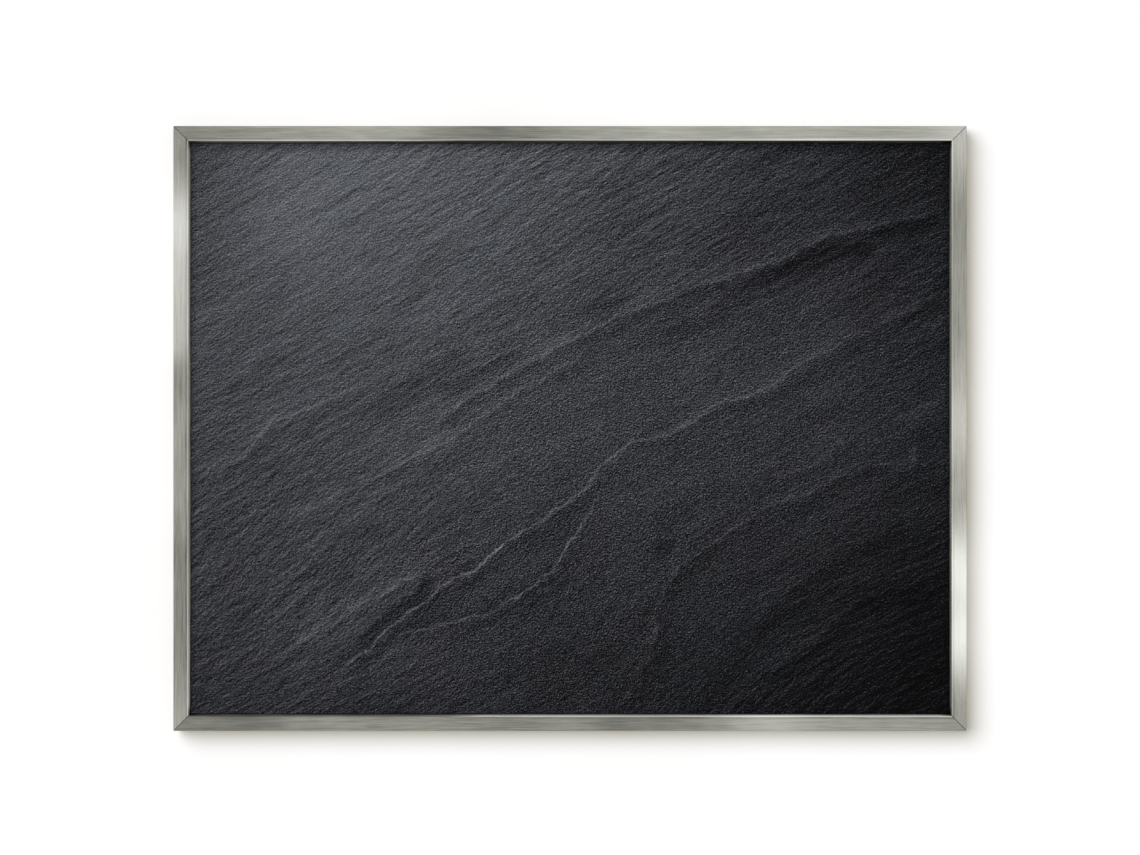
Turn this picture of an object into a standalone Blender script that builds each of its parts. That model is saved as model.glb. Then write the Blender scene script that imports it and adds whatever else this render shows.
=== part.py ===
"""Magnetic board: a printed steel sheet on a backing board, in a mitred metal frame hung from two D-rings.

X is the width and +Z is up. The printed face looks along -Y and the wall is the plane y = 0.
The origin is the middle of that plane. On a rail, u runs inwards from the frame's outer side,
and v runs from the rail's back plane towards the viewer, so y = -STANDOFF - v. All sizes are in metres.
"""
import math

import bmesh
import bpy
import numpy as np

# Frame
FRAME_WIDTH = 0.800
FRAME_HEIGHT = 0.610
MITRE_GAP = 0.0002
SEAT_GAP = 0.0002

# Front of the rail extrusion, from its outer side inwards
FLAT_FACE_WIDTH = 0.0126
GROOVE_WIDTH = 0.0013
GROOVE_DEPTH = 0.0005
BEAD_WIDTH = 0.0013
LIP_SLOPE_WIDTH = 0.0022
LIP_LAND = 0.0014
LIP_DROP = 0.0035
FACE_WALL = 0.0014
SIDE_WALL = 0.0013
FRONT_EDGE_RADIUS = 0.0012
BACK_EDGE_CHAMFER = 0.0003

# Hardware channel along the back of the rail
CHANNEL_WALL = 0.0013
CHANNEL_WIDTH = 0.0099
CHANNEL_HOOK = 0.0016

# Corner keys, their shims and screws
KEY_ARM = 0.038
KEY_THICKNESS = 0.002
KEY_CLEARANCE = 0.0002
KEY_TIP_CHAMFER = 0.0015
SHIM_THICKNESS = 0.001
SHIM_ARM = 0.036
KEY_SPREAD = 0.001
KEY_SCREW_FROM_TIP = 0.012
KEY_SCREW_SHANK = 0.0035
KEY_SCREW_HEAD_HEIGHT = 0.0018
KEY_SCREW_HEAD_CLEARANCE = 0.00055
THREAD_CLEARANCE = 0.0002
SCREW_SLOT_WIDTH = 0.0009
SCREW_SLOT_DEPTH = 0.0008
SCREW_HEAD_ROUND = 0.0005

# Panel pack
FILM_THICKNESS = 0.0003
STEEL_THICKNESS = 0.0008
BACKING_THICKNESS = 0.005
PANEL_CLEARANCE = 0.0007
PANEL_CORNER_RADIUS = 0.002
BACKING_EDGE_CHAMFER = 0.0004

# Spring clips between the channel's shelf and the backing board
CLIP_SPACE = 0.0028
CLIP_THICKNESS = 0.0005
CLIP_WIDTH = 0.012
CLIP_LENGTH = 0.046
CLIP_CORNER_RADIUS = 0.003
CLIP_OVERHANG = 0.004
CLIP_SHARES_LONG = (-0.34, 0.0, 0.34)
CLIP_SHARES_SHORT = (-0.25, 0.25)

# Hangers
HANGER_FROM_TOP = 0.110
NUT_LENGTH = 0.016
NUT_THICKNESS = 0.0018
NUT_END_CHAMFER = 0.0012
NUT_BOSS_CLEARANCE = 0.0002
CLAMP_SHANK = 0.003
CLAMP_HEAD = 0.006
CLAMP_HEAD_HEIGHT = 0.0018
CLAMP_REACH_PAST_NUT = 0.0007
STRAP_THICKNESS = 0.0007
STRAP_LAYER_GAP = 0.00015
STRAP_BEARING = 0.00085
STRAP_TAIL_MARGIN = 0.002
STRAP_TAIL_RADIUS = 0.002
STRAP_BEND_CLEARANCE = 0.0006
STRAP_FOLD_RUN = 0.0034
RING_WIRE = 0.0016
RING_PLAY = 0.00025
RING_SIDE_GAP = 0.0004
RING_FREE_LENGTH = 0.0092

# Rubber bumpers
BUMPER_DIAMETER = 0.012
BUMPER_HEIGHT = 0.0048
BUMPER_EDGE_MARGIN = 0.00025
BUMPER_EDGE_ROUND = 0.0012
BUMPER_TAPER = 0.0008

# How finely round shapes are divided
EDGE_STEPS = 5
BEAD_STEPS = 6
CORNER_STEPS = 5
TURNED_STEPS = 24
HOLE_STEPS = 20
CLIP_STEPS = 16
CLIP_CORNER_STEPS = 3
FOLD_STEPS = 14
TAIL_STEPS = 4
RING_CORNER_STEPS = 5
RING_ARC_STEPS = 18
RING_BEVEL_RESOLUTION = 2
SMOOTH_ANGLE = math.radians(35)
CUT_OVERRUN = 0.001
MERGE_DISTANCE = 0.000001

# Levels above the rail's back plane, worked out from what is stacked in the rail
STANDOFF = BUMPER_HEIGHT + SEAT_GAP
CHANNEL_DEPTH = KEY_THICKNESS + KEY_SPREAD + SHIM_THICKNESS + 2 * SEAT_GAP
SHELF_BACK = CHANNEL_WALL + CHANNEL_DEPTH
SHELF_FRONT = SHELF_BACK + CHANNEL_WALL
BACKING_BACK = SHELF_FRONT + CLIP_SPACE
STEEL_BACK = BACKING_BACK + BACKING_THICKNESS + SEAT_GAP
FILM_BACK = STEEL_BACK + STEEL_THICKNESS + SEAT_GAP
LIP_LEVEL = FILM_BACK + FILM_THICKNESS + SEAT_GAP
RAIL_DEPTH = LIP_LEVEL + LIP_DROP

# Places across the rail, from its outer side inwards
SIGHT_EDGE = FLAT_FACE_WIDTH + GROOVE_WIDTH + BEAD_WIDTH + LIP_SLOPE_WIDTH
CHANNEL_CENTRE = SIDE_WALL + CHANNEL_WIDTH / 2
CHANNEL_INNER = SIDE_WALL + CHANNEL_WIDTH
SLOT_WIDTH = CHANNEL_WIDTH - 2 * CHANNEL_HOOK
PANEL_EDGE = SIDE_WALL + PANEL_CLEARANCE

# Hanger sizes that follow from its screw, its strap and the slot
KEY_SCREW_HEAD = SLOT_WIDTH - 2 * KEY_SCREW_HEAD_CLEARANCE
STRAP_WIDTH = SLOT_WIDTH + 2 * STRAP_BEARING
STRAP_OUTER_LEVEL = SEAT_GAP + 2 * STRAP_THICKNESS + STRAP_LAYER_GAP
STRAP_TAIL = CLAMP_HEAD / 2 + STRAP_TAIL_MARGIN
STRAP_BEND = CLAMP_HEAD / 2 + STRAP_BEND_CLEARANCE
RING_AXIS_ALONG = STRAP_BEND + STRAP_FOLD_RUN
RING_AXIS_OUT = SEAT_GAP + STRAP_THICKNESS + RING_PLAY + RING_WIRE / 2
RING_HALF_WIDTH = STRAP_WIDTH / 2 + RING_SIDE_GAP + RING_WIRE / 2
RING_LENGTH = RING_AXIS_ALONG + STRAP_TAIL + RING_FREE_LENGTH + RING_WIRE / 2

# One tuple per material: base colour, roughness, metallic
FINISHES = {
    "brushed_frame": ((0.36, 0.36, 0.33), 0.34, 1.0),
    "slate_print": ((0.030, 0.033, 0.037), 0.55, 0.0),
    "sheet_steel": ((0.42, 0.43, 0.44), 0.45, 1.0),
    "backing_fibreboard": ((0.30, 0.19, 0.11), 0.85, 0.0),
    "zinc_plate": ((0.55, 0.56, 0.58), 0.38, 1.0),
    "spring_steel": ((0.30, 0.31, 0.33), 0.35, 1.0),
    "nickel_wire": ((0.66, 0.65, 0.62), 0.18, 1.0),
    "bumper_rubber": ((0.035, 0.035, 0.036), 0.75, 0.0),
}


def clear_scene():
    """Remove whatever the file opened with."""
    for thing in list(bpy.data.objects):
        bpy.data.objects.remove(thing, do_unlink=True)


def finish_material(name):
    """Return the named finish as a Principled material, made once."""
    found = bpy.data.materials.get(name)
    if found:
        return found
    colour, roughness, metallic = FINISHES[name]
    made = bpy.data.materials.new(name)
    made.use_nodes = True
    shader = made.node_tree.nodes["Principled BSDF"]
    shader.inputs["Base Color"].default_value = (*colour, 1.0)
    shader.inputs["Roughness"].default_value = roughness
    shader.inputs["Metallic"].default_value = metallic
    made.diffuse_color = (*colour, 1.0)
    return made


def empty(name, parent=None, location=(0.0, 0.0, 0.0), turn_y=0.0):
    """Add an empty that carries a group of pieces."""
    holder = bpy.data.objects.new(name, None)
    bpy.context.collection.objects.link(holder)
    holder.parent = parent
    holder.location = location
    holder.rotation_euler = (0.0, turn_y, 0.0)
    return holder


def place(name, data, finish, parent=None, location=(0.0, 0.0, 0.0), turn_y=0.0):
    """Link one named piece that uses the given mesh or curve."""
    piece = bpy.data.objects.new(name, data)
    bpy.context.collection.objects.link(piece)
    if not data.materials:
        data.materials.append(finish_material(finish))
    piece.parent = parent
    piece.location = location
    piece.rotation_euler = (0.0, turn_y, 0.0)
    return piece


def to_mesh(name, bm, smooth=False):
    """Turn a finished bmesh into a mesh whose faces point outwards."""
    bmesh.ops.recalc_face_normals(bm, faces=bm.faces)
    mesh = bpy.data.meshes.new(name)
    bm.to_mesh(mesh)
    bm.free()
    if smooth:
        mesh.shade_smooth()
        mesh.set_sharp_from_angle(angle=SMOOTH_ANGLE)
    return mesh


def arc(centre, radius, start, end, steps):
    """Points of a circular arc between two angles in degrees, both ends included."""
    angles = np.radians(np.linspace(start, end, steps + 1))
    return [(centre[0] + radius * math.cos(a), centre[1] + radius * math.sin(a)) for a in angles]


def loop_edges(bm, points, level):
    """Add a closed chain of edges in a plane of constant y and return the edges."""
    verts = [bm.verts.new((x, level, z)) for x, z in points]
    return [bm.edges.new((verts[i], verts[(i + 1) % len(verts)])) for i in range(len(verts))]


def plate(name, outline, holes, back, thickness, smooth=False):
    """A flat plate with through holes: its outline is filled around the holes and pushed back along -Y."""
    bm = bmesh.new()
    edges = loop_edges(bm, outline, back)
    for hole in holes:
        edges += loop_edges(bm, hole, back)
    filled = bmesh.ops.triangle_fill(bm, use_beauty=True, use_dissolve=False, edges=edges)
    faces = [item for item in filled["geom"] if isinstance(item, bmesh.types.BMFace)]
    pushed = bmesh.ops.extrude_face_region(bm, geom=faces)
    moved = [item for item in pushed["geom"] if isinstance(item, bmesh.types.BMVert)]
    bmesh.ops.translate(bm, verts=moved, vec=(0.0, -thickness, 0.0))
    return to_mesh(name, bm, smooth)


def turned(profile, steps=TURNED_STEPS):
    """A solid of revolution about Y from (radius, y) points that start and end on the axis."""
    bm = bmesh.new()
    verts = [bm.verts.new((r, y, 0.0)) for r, y in profile]
    edges = [bm.edges.new(pair) for pair in zip(verts, verts[1:])]
    bmesh.ops.spin(bm, geom=verts + edges, cent=(0.0, 0.0, 0.0), axis=(0.0, 1.0, 0.0),
                   angle=2 * math.pi, steps=steps, use_merge=True, use_duplicate=False)
    bmesh.ops.remove_doubles(bm, verts=bm.verts, dist=MERGE_DISTANCE)
    return bm


def box_bmesh(low, high):
    """A plain box between two corners, used as a cutter."""
    bm = bmesh.new()
    bmesh.ops.create_cube(bm, size=1.0)
    for vert in bm.verts:
        vert.co = [low[k] if vert.co[k] < 0 else high[k] for k in range(3)]
    return bm


def rod_bmesh(radius, y_low, y_high, steps=HOLE_STEPS):
    """A plain rod along Y, used as a cutter."""
    return turned([(0.0, y_low), (radius, y_low), (radius, y_high), (0.0, y_high)], steps)


def cut(mesh, cutter_bm, smooth=False):
    """Return the mesh with the cutter's volume taken away by an exact Boolean."""
    body = bpy.data.objects.new("body_to_cut", mesh)
    knife = bpy.data.objects.new("knife", to_mesh("knife", cutter_bm))
    for thing in (body, knife):
        bpy.context.collection.objects.link(thing)
    step = body.modifiers.new("cut", "BOOLEAN")
    step.operation = "DIFFERENCE"
    step.object = knife
    view = bpy.context.evaluated_depsgraph_get()
    result = bpy.data.meshes.new_from_object(body.evaluated_get(view))
    result.name = mesh.name
    for thing in (body, knife):
        bpy.data.objects.remove(thing, do_unlink=True)
    if smooth:
        result.shade_smooth()
        result.set_sharp_from_angle(angle=SMOOTH_ANGLE)
    return result


def rail_section():
    """The extrusion's outline as (u, v) points, once round from the back of its outer side."""
    front = RAIL_DEPTH
    groove_start = FLAT_FACE_WIDTH
    groove_floor = front - GROOVE_DEPTH
    bead_start = groove_start + GROOVE_WIDTH
    bead_end = bead_start + BEAD_WIDTH
    bead_radius = BEAD_WIDTH / 2
    bead_centre = (bead_start + bead_radius, front - bead_radius)
    groove_foot = GROOVE_DEPTH / 2
    points = [(0.0, BACK_EDGE_CHAMFER)]
    points += arc((FRONT_EDGE_RADIUS, front - FRONT_EDGE_RADIUS), FRONT_EDGE_RADIUS, 180, 90, EDGE_STEPS)
    points += [(groove_start, front), (groove_start + groove_foot, groove_floor)]
    points += [(bead_start, groove_floor)]
    points += arc(bead_centre, bead_radius, 180, 0, BEAD_STEPS)
    points += [(SIGHT_EDGE, LIP_LEVEL + BACK_EDGE_CHAMFER)]
    points += [(SIGHT_EDGE - BACK_EDGE_CHAMFER, LIP_LEVEL)]
    points += [(SIGHT_EDGE - LIP_LAND, LIP_LEVEL)]
    points += [(bead_end - LIP_LAND, front - FACE_WALL)]
    points += [(SIDE_WALL, front - FACE_WALL), (SIDE_WALL, SHELF_FRONT)]
    channel_outer = CHANNEL_INNER + CHANNEL_WALL
    hook_end = CHANNEL_INNER - CHANNEL_HOOK
    points += [(channel_outer, SHELF_FRONT), (channel_outer, BACK_EDGE_CHAMFER)]
    points += [(channel_outer - BACK_EDGE_CHAMFER, 0.0), (hook_end, 0.0), (hook_end, CHANNEL_WALL)]
    points += [(CHANNEL_INNER, CHANNEL_WALL), (CHANNEL_INNER, SHELF_BACK), (SIDE_WALL, SHELF_BACK)]
    points += [(SIDE_WALL, CHANNEL_WALL), (SIDE_WALL + CHANNEL_HOOK, CHANNEL_WALL)]
    points += [(SIDE_WALL + CHANNEL_HOOK, 0.0), (BACK_EDGE_CHAMFER, 0.0)]
    return points


def rail_mesh(name, length):
    """Extrude the rail section along X and cut both ends to a 45 degree mitre."""
    half = length / 2 - MITRE_GAP / math.sqrt(2)
    bm = bmesh.new()
    start = [bm.verts.new((-half + u, -v, u)) for u, v in rail_section()]
    first = bm.faces.new(start)
    pushed = bmesh.ops.extrude_face_region(bm, geom=[first])
    for vert in pushed["geom"]:
        if isinstance(vert, bmesh.types.BMVert):
            vert.co.x = half - vert.co.z
    return to_mesh(name, bm, smooth=True)


def rounded_rectangle(width, height, radius):
    """Outline of a rectangle about the origin, with round corners."""
    x = width / 2 - radius
    z = height / 2 - radius
    points = []
    for centre, start in (((x, -z), -90), ((x, z), 0), ((-x, z), 90), ((-x, -z), 180)):
        points += arc(centre, radius, start, start + 90, CORNER_STEPS)
    return points


def corner_outline(arm, width, start):
    """An L with equal arms from (start, start) and chamfered tips; its inner corner stays sharp."""
    inner = start + width
    chamfer = KEY_TIP_CHAMFER
    points = [(start + chamfer, start), (arm - chamfer, start), (arm, start + chamfer)]
    points += [(arm, inner - chamfer), (arm - chamfer, inner), (inner, inner)]
    points += [(inner, arm - chamfer), (inner - chamfer, arm), (start + chamfer, arm)]
    points += [(start, arm - chamfer), (start, start + chamfer)]
    return points


def circle(centre, radius, steps=HOLE_STEPS):
    """Outline of a round hole."""
    return arc(centre, radius, 0, 360, steps)[:-1]


def slotted_screw(name, head_diameter, head_height, shank_diameter, shank_length):
    """A slotted screw along Y with its head's underside at y = 0 and its shank along -Y."""
    radius = head_diameter / 2
    profile = [(0.0, -shank_length), (shank_diameter / 2, -shank_length), (shank_diameter / 2, 0.0)]
    profile += [(radius, 0.0)]
    crown = (radius - SCREW_HEAD_ROUND, head_height - SCREW_HEAD_ROUND)
    profile += arc(crown, SCREW_HEAD_ROUND, 0, 90, CORNER_STEPS)
    profile += [(0.0, head_height)]
    mesh = to_mesh(name, turned(profile))
    half_slot = SCREW_SLOT_WIDTH / 2
    reach = radius + CUT_OVERRUN
    slot = box_bmesh((-reach, head_height - SCREW_SLOT_DEPTH, -half_slot),
                     (reach, head_height + CUT_OVERRUN, half_slot))
    return cut(mesh, slot, smooth=True)


def ribbon(name, path, widths, thickness):
    """Sweep a strip of sheet along a (z, y) path: its width lies along X and may change on the way."""
    points = np.array(path)
    step = np.diff(points, axis=0)
    step /= np.linalg.norm(step, axis=1)[:, None]
    arriving = np.vstack([step[:1], step])
    leaving = np.vstack([step, step[-1:]])
    ahead = arriving + leaving
    ahead /= np.linalg.norm(ahead, axis=1)[:, None]
    stretch = thickness / 2 / np.sum(ahead * leaving, axis=1)
    side = np.stack([-ahead[:, 1], ahead[:, 0]], axis=1) * stretch[:, None]
    bm = bmesh.new()
    rings = []
    for (z, y), (dz, dy), width in zip(points, side, widths):
        corners = ((width / 2, y + dy, z + dz), (-width / 2, y + dy, z + dz),
                   (-width / 2, y - dy, z - dz), (width / 2, y - dy, z - dz))
        rings.append([bm.verts.new(corner) for corner in corners])
    for one, two in zip(rings, rings[1:]):
        for k in range(4):
            bm.faces.new((one[k], one[(k + 1) % 4], two[(k + 1) % 4], two[k]))
    bm.faces.new(rings[0])
    bm.faces.new(rings[-1])
    return to_mesh(name, bm, smooth=True)


def rounded_tip(radius, steps):
    """Distances from a strip's end at which its round corners are divided."""
    return [radius * (1 - math.cos(a)) for a in np.radians(np.linspace(0, 90, steps + 1))]


def tip_width(distance, width, radius):
    """Width of a strip at a distance from its end, where both corners have the given radius."""
    if distance >= radius:
        return width
    return width - 2 * (radius - math.sqrt(radius ** 2 - (radius - distance) ** 2))


def clip_mesh():
    """A bowed leaf spring: its ends bear on the backing board and its middle on the channel's shelf."""
    half = CLIP_LENGTH / 2
    rise = CLIP_SPACE - CLIP_THICKNESS - 2 * SEAT_GAP
    end_level = BACKING_BACK - SEAT_GAP - CLIP_THICKNESS / 2
    tip = [half - distance for distance in rounded_tip(CLIP_CORNER_RADIUS, CLIP_CORNER_STEPS)]
    middle = list(np.linspace(tip[-1], -tip[-1], CLIP_STEPS + 1))[1:-1]
    places = tip + middle + [-z for z in tip[::-1]]
    path = [(z, -(end_level - rise * (1 - (z / half) ** 2))) for z in places]
    widths = [tip_width(half - abs(z), CLIP_WIDTH, CLIP_CORNER_RADIUS) for z in places]
    return ribbon("spring_clip", path, widths, CLIP_THICKNESS)


def strap_path():
    """The strap's centre line as (z, y): along the rail, round the ring's bar and back over itself."""
    half = STRAP_THICKNESS / 2
    lower = SEAT_GAP + half
    upper = lower + STRAP_THICKNESS + STRAP_LAYER_GAP
    radius = RING_WIRE / 2 + RING_PLAY + half
    axis = (RING_AXIS_ALONG, RING_AXIS_OUT)
    to_bend = (STRAP_BEND - axis[0], upper - axis[1])
    reach = math.hypot(*to_bend)
    leave = math.degrees(math.atan2(to_bend[1], to_bend[0])) % 360 - math.degrees(math.acos(radius / reach))
    tail = [distance - STRAP_TAIL for distance in rounded_tip(STRAP_TAIL_RADIUS, TAIL_STEPS)]
    first = [(z, lower) for z in tail]
    fold = arc(axis, radius, -90, leave, FOLD_STEPS)
    back = [(z, upper) for z in [STRAP_BEND] + tail[::-1]]
    return first + fold + back


def strap_mesh():
    """The folded strap, narrowed to round corners at its tail and drilled for the clamp screw."""
    path = strap_path()
    widths = [tip_width(z + STRAP_TAIL, STRAP_WIDTH, STRAP_TAIL_RADIUS) for z, _ in path]
    mesh = ribbon("strap", path, widths, STRAP_THICKNESS)
    hole = rod_bmesh(CLAMP_SHANK / 2 + THREAD_CLEARANCE, -CUT_OVERRUN, STRAP_OUTER_LEVEL + CUT_OVERRUN)
    return cut(mesh, hole, smooth=True)


def nut_mesh():
    """The slide nut: a T section that fills the channel behind the hooks and rises between them."""
    wide = CHANNEL_WIDTH / 2 - KEY_CLEARANCE
    boss = SLOT_WIDTH / 2 - NUT_BOSS_CLEARANCE
    seat = CHANNEL_WALL + SEAT_GAP
    top = seat + NUT_THICKNESS
    foot = SEAT_GAP
    section = [(-boss, foot), (boss, foot), (boss, seat), (wide, seat), (wide, top)]
    section += [(-wide, top), (-wide, seat), (-boss, seat)]
    bm = bmesh.new()
    start = [bm.verts.new((u, -v, -NUT_LENGTH / 2)) for u, v in section]
    first = bm.faces.new(start)
    pushed = bmesh.ops.extrude_face_region(bm, geom=[first])
    moved = [item for item in pushed["geom"] if isinstance(item, bmesh.types.BMVert)]
    bmesh.ops.translate(bm, verts=moved, vec=(0.0, 0.0, NUT_LENGTH))
    ends = [edge for edge in bm.edges
            if abs(edge.verts[0].co.x) > boss and edge.verts[0].co.x == edge.verts[1].co.x
            and edge.verts[0].co.z == edge.verts[1].co.z]
    bmesh.ops.bevel(bm, geom=ends, offset=NUT_END_CHAMFER, segments=1, affect="EDGES")
    mesh = to_mesh("slide_nut", bm)
    hole = rod_bmesh(CLAMP_SHANK / 2 + THREAD_CLEARANCE, -top - CUT_OVERRUN, CUT_OVERRUN)
    return cut(mesh, hole)


def ring_curve():
    """The D-ring's wire: a bar on the X axis, two legs and a half circle, all in one closed curve."""
    side = RING_HALF_WIDTH
    corner = RING_SIDE_GAP + RING_WIRE / 2
    bottom = -(RING_LENGTH - side)
    points = arc((side - corner, -corner), corner, 90, 0, RING_CORNER_STEPS)
    points += arc((0.0, bottom), side, 0, -180, RING_ARC_STEPS)
    points += arc((-side + corner, -corner), corner, 180, 90, RING_CORNER_STEPS)
    curve = bpy.data.curves.new("d_ring", "CURVE")
    curve.dimensions = "3D"
    curve.bevel_depth = RING_WIRE / 2
    curve.bevel_resolution = RING_BEVEL_RESOLUTION
    curve.render_resolution_u = 0
    spline = curve.splines.new("POLY")
    spline.points.add(len(points) - 1)
    for point, (x, z) in zip(spline.points, points):
        point.co = (x, 0.0, z, 1.0)
    spline.use_cyclic_u = True
    return curve


def bumper_mesh():
    """A rubber foot along +Y: a slightly tapered disc with a round edge and a flat face."""
    base = BUMPER_DIAMETER / 2
    top = base - BUMPER_TAPER
    start = SEAT_GAP
    end = start + BUMPER_HEIGHT
    profile = [(0.0, start), (base, start)]
    profile += arc((top - BUMPER_EDGE_ROUND, end - BUMPER_EDGE_ROUND), BUMPER_EDGE_ROUND, 0, 90, CORNER_STEPS)
    profile += [(0.0, end)]
    return to_mesh("bumper", turned(profile), smooth=True)


def build_frame(board):
    """Four mitred rails. Each has its own X along its length and its own Z pointing into the frame."""
    long_rail = rail_mesh("long_rail", FRAME_WIDTH)
    short_rail = rail_mesh("short_rail", FRAME_HEIGHT)
    half_width = FRAME_WIDTH / 2
    half_height = FRAME_HEIGHT / 2
    rails = {}
    for name, mesh, x, z, turn in (("bottom", long_rail, 0.0, -half_height, 0),
                                   ("left", short_rail, -half_width, 0.0, 90),
                                   ("top", long_rail, 0.0, half_height, 180),
                                   ("right", short_rail, half_width, 0.0, 270)):
        rails[name] = place(f"{name}_rail", mesh, "brushed_frame", board,
                            (x, -STANDOFF, z), math.radians(turn))
    return rails


def build_panel(board):
    """The printed film, the steel sheet and the backing board, in the order they lie behind the lip."""
    width = FRAME_WIDTH - 2 * PANEL_EDGE
    height = FRAME_HEIGHT - 2 * PANEL_EDGE
    outline = rounded_rectangle(width, height, PANEL_CORNER_RADIUS)
    film = plate("printed_film", outline, [], -FILM_BACK, FILM_THICKNESS)
    steel = plate("steel_sheet", outline, [], -STEEL_BACK, STEEL_THICKNESS)
    place("printed_film", film, "slate_print", board, (0.0, -STANDOFF, 0.0))
    place("steel_sheet", steel, "sheet_steel", board, (0.0, -STANDOFF, 0.0))
    backing = plate("backing_board", outline, [], -BACKING_BACK, BACKING_THICKNESS)
    piece = place("backing_board", backing, "backing_fibreboard", board, (0.0, -STANDOFF, 0.0))
    edge = piece.modifiers.new("sanded_edge", "BEVEL")
    edge.width = BACKING_EDGE_CHAMFER
    edge.segments = 1
    edge.limit_method = "ANGLE"
    edge.angle_limit = math.radians(60)


def build_corners(board):
    """At each mitre a shim, a threaded key over it, two key screws and a rubber bumper."""
    start = SIDE_WALL + KEY_CLEARANCE
    key_width = CHANNEL_WIDTH - 2 * KEY_CLEARANCE
    key_back = CHANNEL_WALL + SEAT_GAP
    screw_along = KEY_ARM - KEY_SCREW_FROM_TIP
    screw_places = ((screw_along, CHANNEL_CENTRE), (CHANNEL_CENTRE, screw_along))
    holes = [circle(spot, KEY_SCREW_SHANK / 2 + THREAD_CLEARANCE) for spot in screw_places]
    key = plate("corner_key", corner_outline(KEY_ARM, key_width, start), holes, -key_back, KEY_THICKNESS)
    shim_back = SHELF_BACK - SEAT_GAP - SHIM_THICKNESS
    shim = plate("corner_shim", corner_outline(SHIM_ARM, key_width, start), [], -shim_back, SHIM_THICKNESS)
    head_seat = key_back - SEAT_GAP
    shank = shim_back - SEAT_GAP - head_seat
    screw = slotted_screw("key_screw", KEY_SCREW_HEAD, KEY_SCREW_HEAD_HEIGHT, KEY_SCREW_SHANK, shank)
    bumper = bumper_mesh()
    bumper_place = BUMPER_EDGE_MARGIN + BUMPER_DIAMETER / 2
    half_width = FRAME_WIDTH / 2
    half_height = FRAME_HEIGHT / 2
    for name, x, z, turn in (("bottom_left", -half_width, -half_height, 0),
                             ("top_left", -half_width, half_height, 90),
                             ("top_right", half_width, half_height, 180),
                             ("bottom_right", half_width, -half_height, 270)):
        corner = empty(f"{name}_corner", board, (x, -STANDOFF, z), math.radians(turn))
        place(f"corner_shim_{name}", shim, "zinc_plate", corner)
        place(f"corner_key_{name}", key, "zinc_plate", corner)
        for number, (along, across) in enumerate(screw_places, 1):
            place(f"key_screw_{name}_{number}", screw, "zinc_plate", corner, (along, -head_seat, across))
        place(f"bumper_{name}", bumper, "bumper_rubber", corner, (bumper_place, 0.0, bumper_place))


def build_clips(rails):
    """Leaf springs pushed in between the channel's shelf and the backing board, along every rail."""
    clip = clip_mesh()
    middle = CHANNEL_INNER + CHANNEL_WALL + CLIP_OVERHANG - CLIP_WIDTH / 2
    for side, rail in rails.items():
        along_top = side in ("top", "bottom")
        length = FRAME_WIDTH if along_top else FRAME_HEIGHT
        shares = CLIP_SHARES_LONG if along_top else CLIP_SHARES_SHORT
        for number, share in enumerate(shares, 1):
            place(f"spring_clip_{side}_{number}", clip, "spring_steel", rail,
                  (share * length, 0.0, middle), math.radians(90))


def build_hangers(board):
    """On each side rail a slide nut, a folded strap, its clamp screw, and the D-ring on its own axis."""
    nut = nut_mesh()
    strap = strap_mesh()
    head_seat = STRAP_OUTER_LEVEL + SEAT_GAP
    shank = head_seat + CHANNEL_WALL + SEAT_GAP + NUT_THICKNESS + CLAMP_REACH_PAST_NUT
    screw = slotted_screw("clamp_screw", CLAMP_HEAD, CLAMP_HEAD_HEIGHT, CLAMP_SHANK, shank)
    ring = ring_curve()
    across = FRAME_WIDTH / 2 - CHANNEL_CENTRE
    height = FRAME_HEIGHT / 2 - HANGER_FROM_TOP
    for name, x in (("left", -across), ("right", across)):
        hanger = empty(f"hanger_{name}", board, (x, -STANDOFF, height))
        place(f"slide_nut_{name}", nut, "zinc_plate", hanger)
        place(f"hanger_strap_{name}", strap, "zinc_plate", hanger)
        place(f"clamp_screw_{name}", screw, "zinc_plate", hanger, (0.0, head_seat, 0.0))
        place(f"d_ring_{name}", ring, "nickel_wire", hanger, (0.0, RING_AXIS_OUT, RING_AXIS_ALONG))


clear_scene()
magnetic_board = empty("magnetic_board")
frame_rails = build_frame(magnetic_board)
build_panel(magnetic_board)
build_corners(magnetic_board)
build_clips(frame_rails)
build_hangers(magnetic_board)
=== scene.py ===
import math

import bmesh
import bpy
import numpy as np
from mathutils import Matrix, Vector


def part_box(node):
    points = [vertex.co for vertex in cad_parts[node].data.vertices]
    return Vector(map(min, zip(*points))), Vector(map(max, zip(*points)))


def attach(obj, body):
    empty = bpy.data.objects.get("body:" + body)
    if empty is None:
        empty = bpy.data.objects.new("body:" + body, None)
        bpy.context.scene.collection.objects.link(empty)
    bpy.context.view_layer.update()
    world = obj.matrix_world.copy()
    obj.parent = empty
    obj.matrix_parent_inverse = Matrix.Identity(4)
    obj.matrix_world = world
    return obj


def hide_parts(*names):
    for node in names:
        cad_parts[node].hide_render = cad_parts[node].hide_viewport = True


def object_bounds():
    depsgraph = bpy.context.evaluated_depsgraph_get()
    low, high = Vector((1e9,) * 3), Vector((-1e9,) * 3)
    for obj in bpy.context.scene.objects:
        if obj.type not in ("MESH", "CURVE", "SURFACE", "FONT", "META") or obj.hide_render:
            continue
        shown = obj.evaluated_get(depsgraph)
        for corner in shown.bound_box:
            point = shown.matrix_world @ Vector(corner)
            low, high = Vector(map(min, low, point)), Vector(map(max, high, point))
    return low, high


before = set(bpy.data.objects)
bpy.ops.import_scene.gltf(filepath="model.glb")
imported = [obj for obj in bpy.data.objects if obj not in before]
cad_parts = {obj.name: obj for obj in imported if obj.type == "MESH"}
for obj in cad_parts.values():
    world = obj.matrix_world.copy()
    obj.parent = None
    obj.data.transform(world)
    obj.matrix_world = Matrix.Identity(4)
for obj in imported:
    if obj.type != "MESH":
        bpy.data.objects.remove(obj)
cad_low, cad_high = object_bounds()


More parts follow.
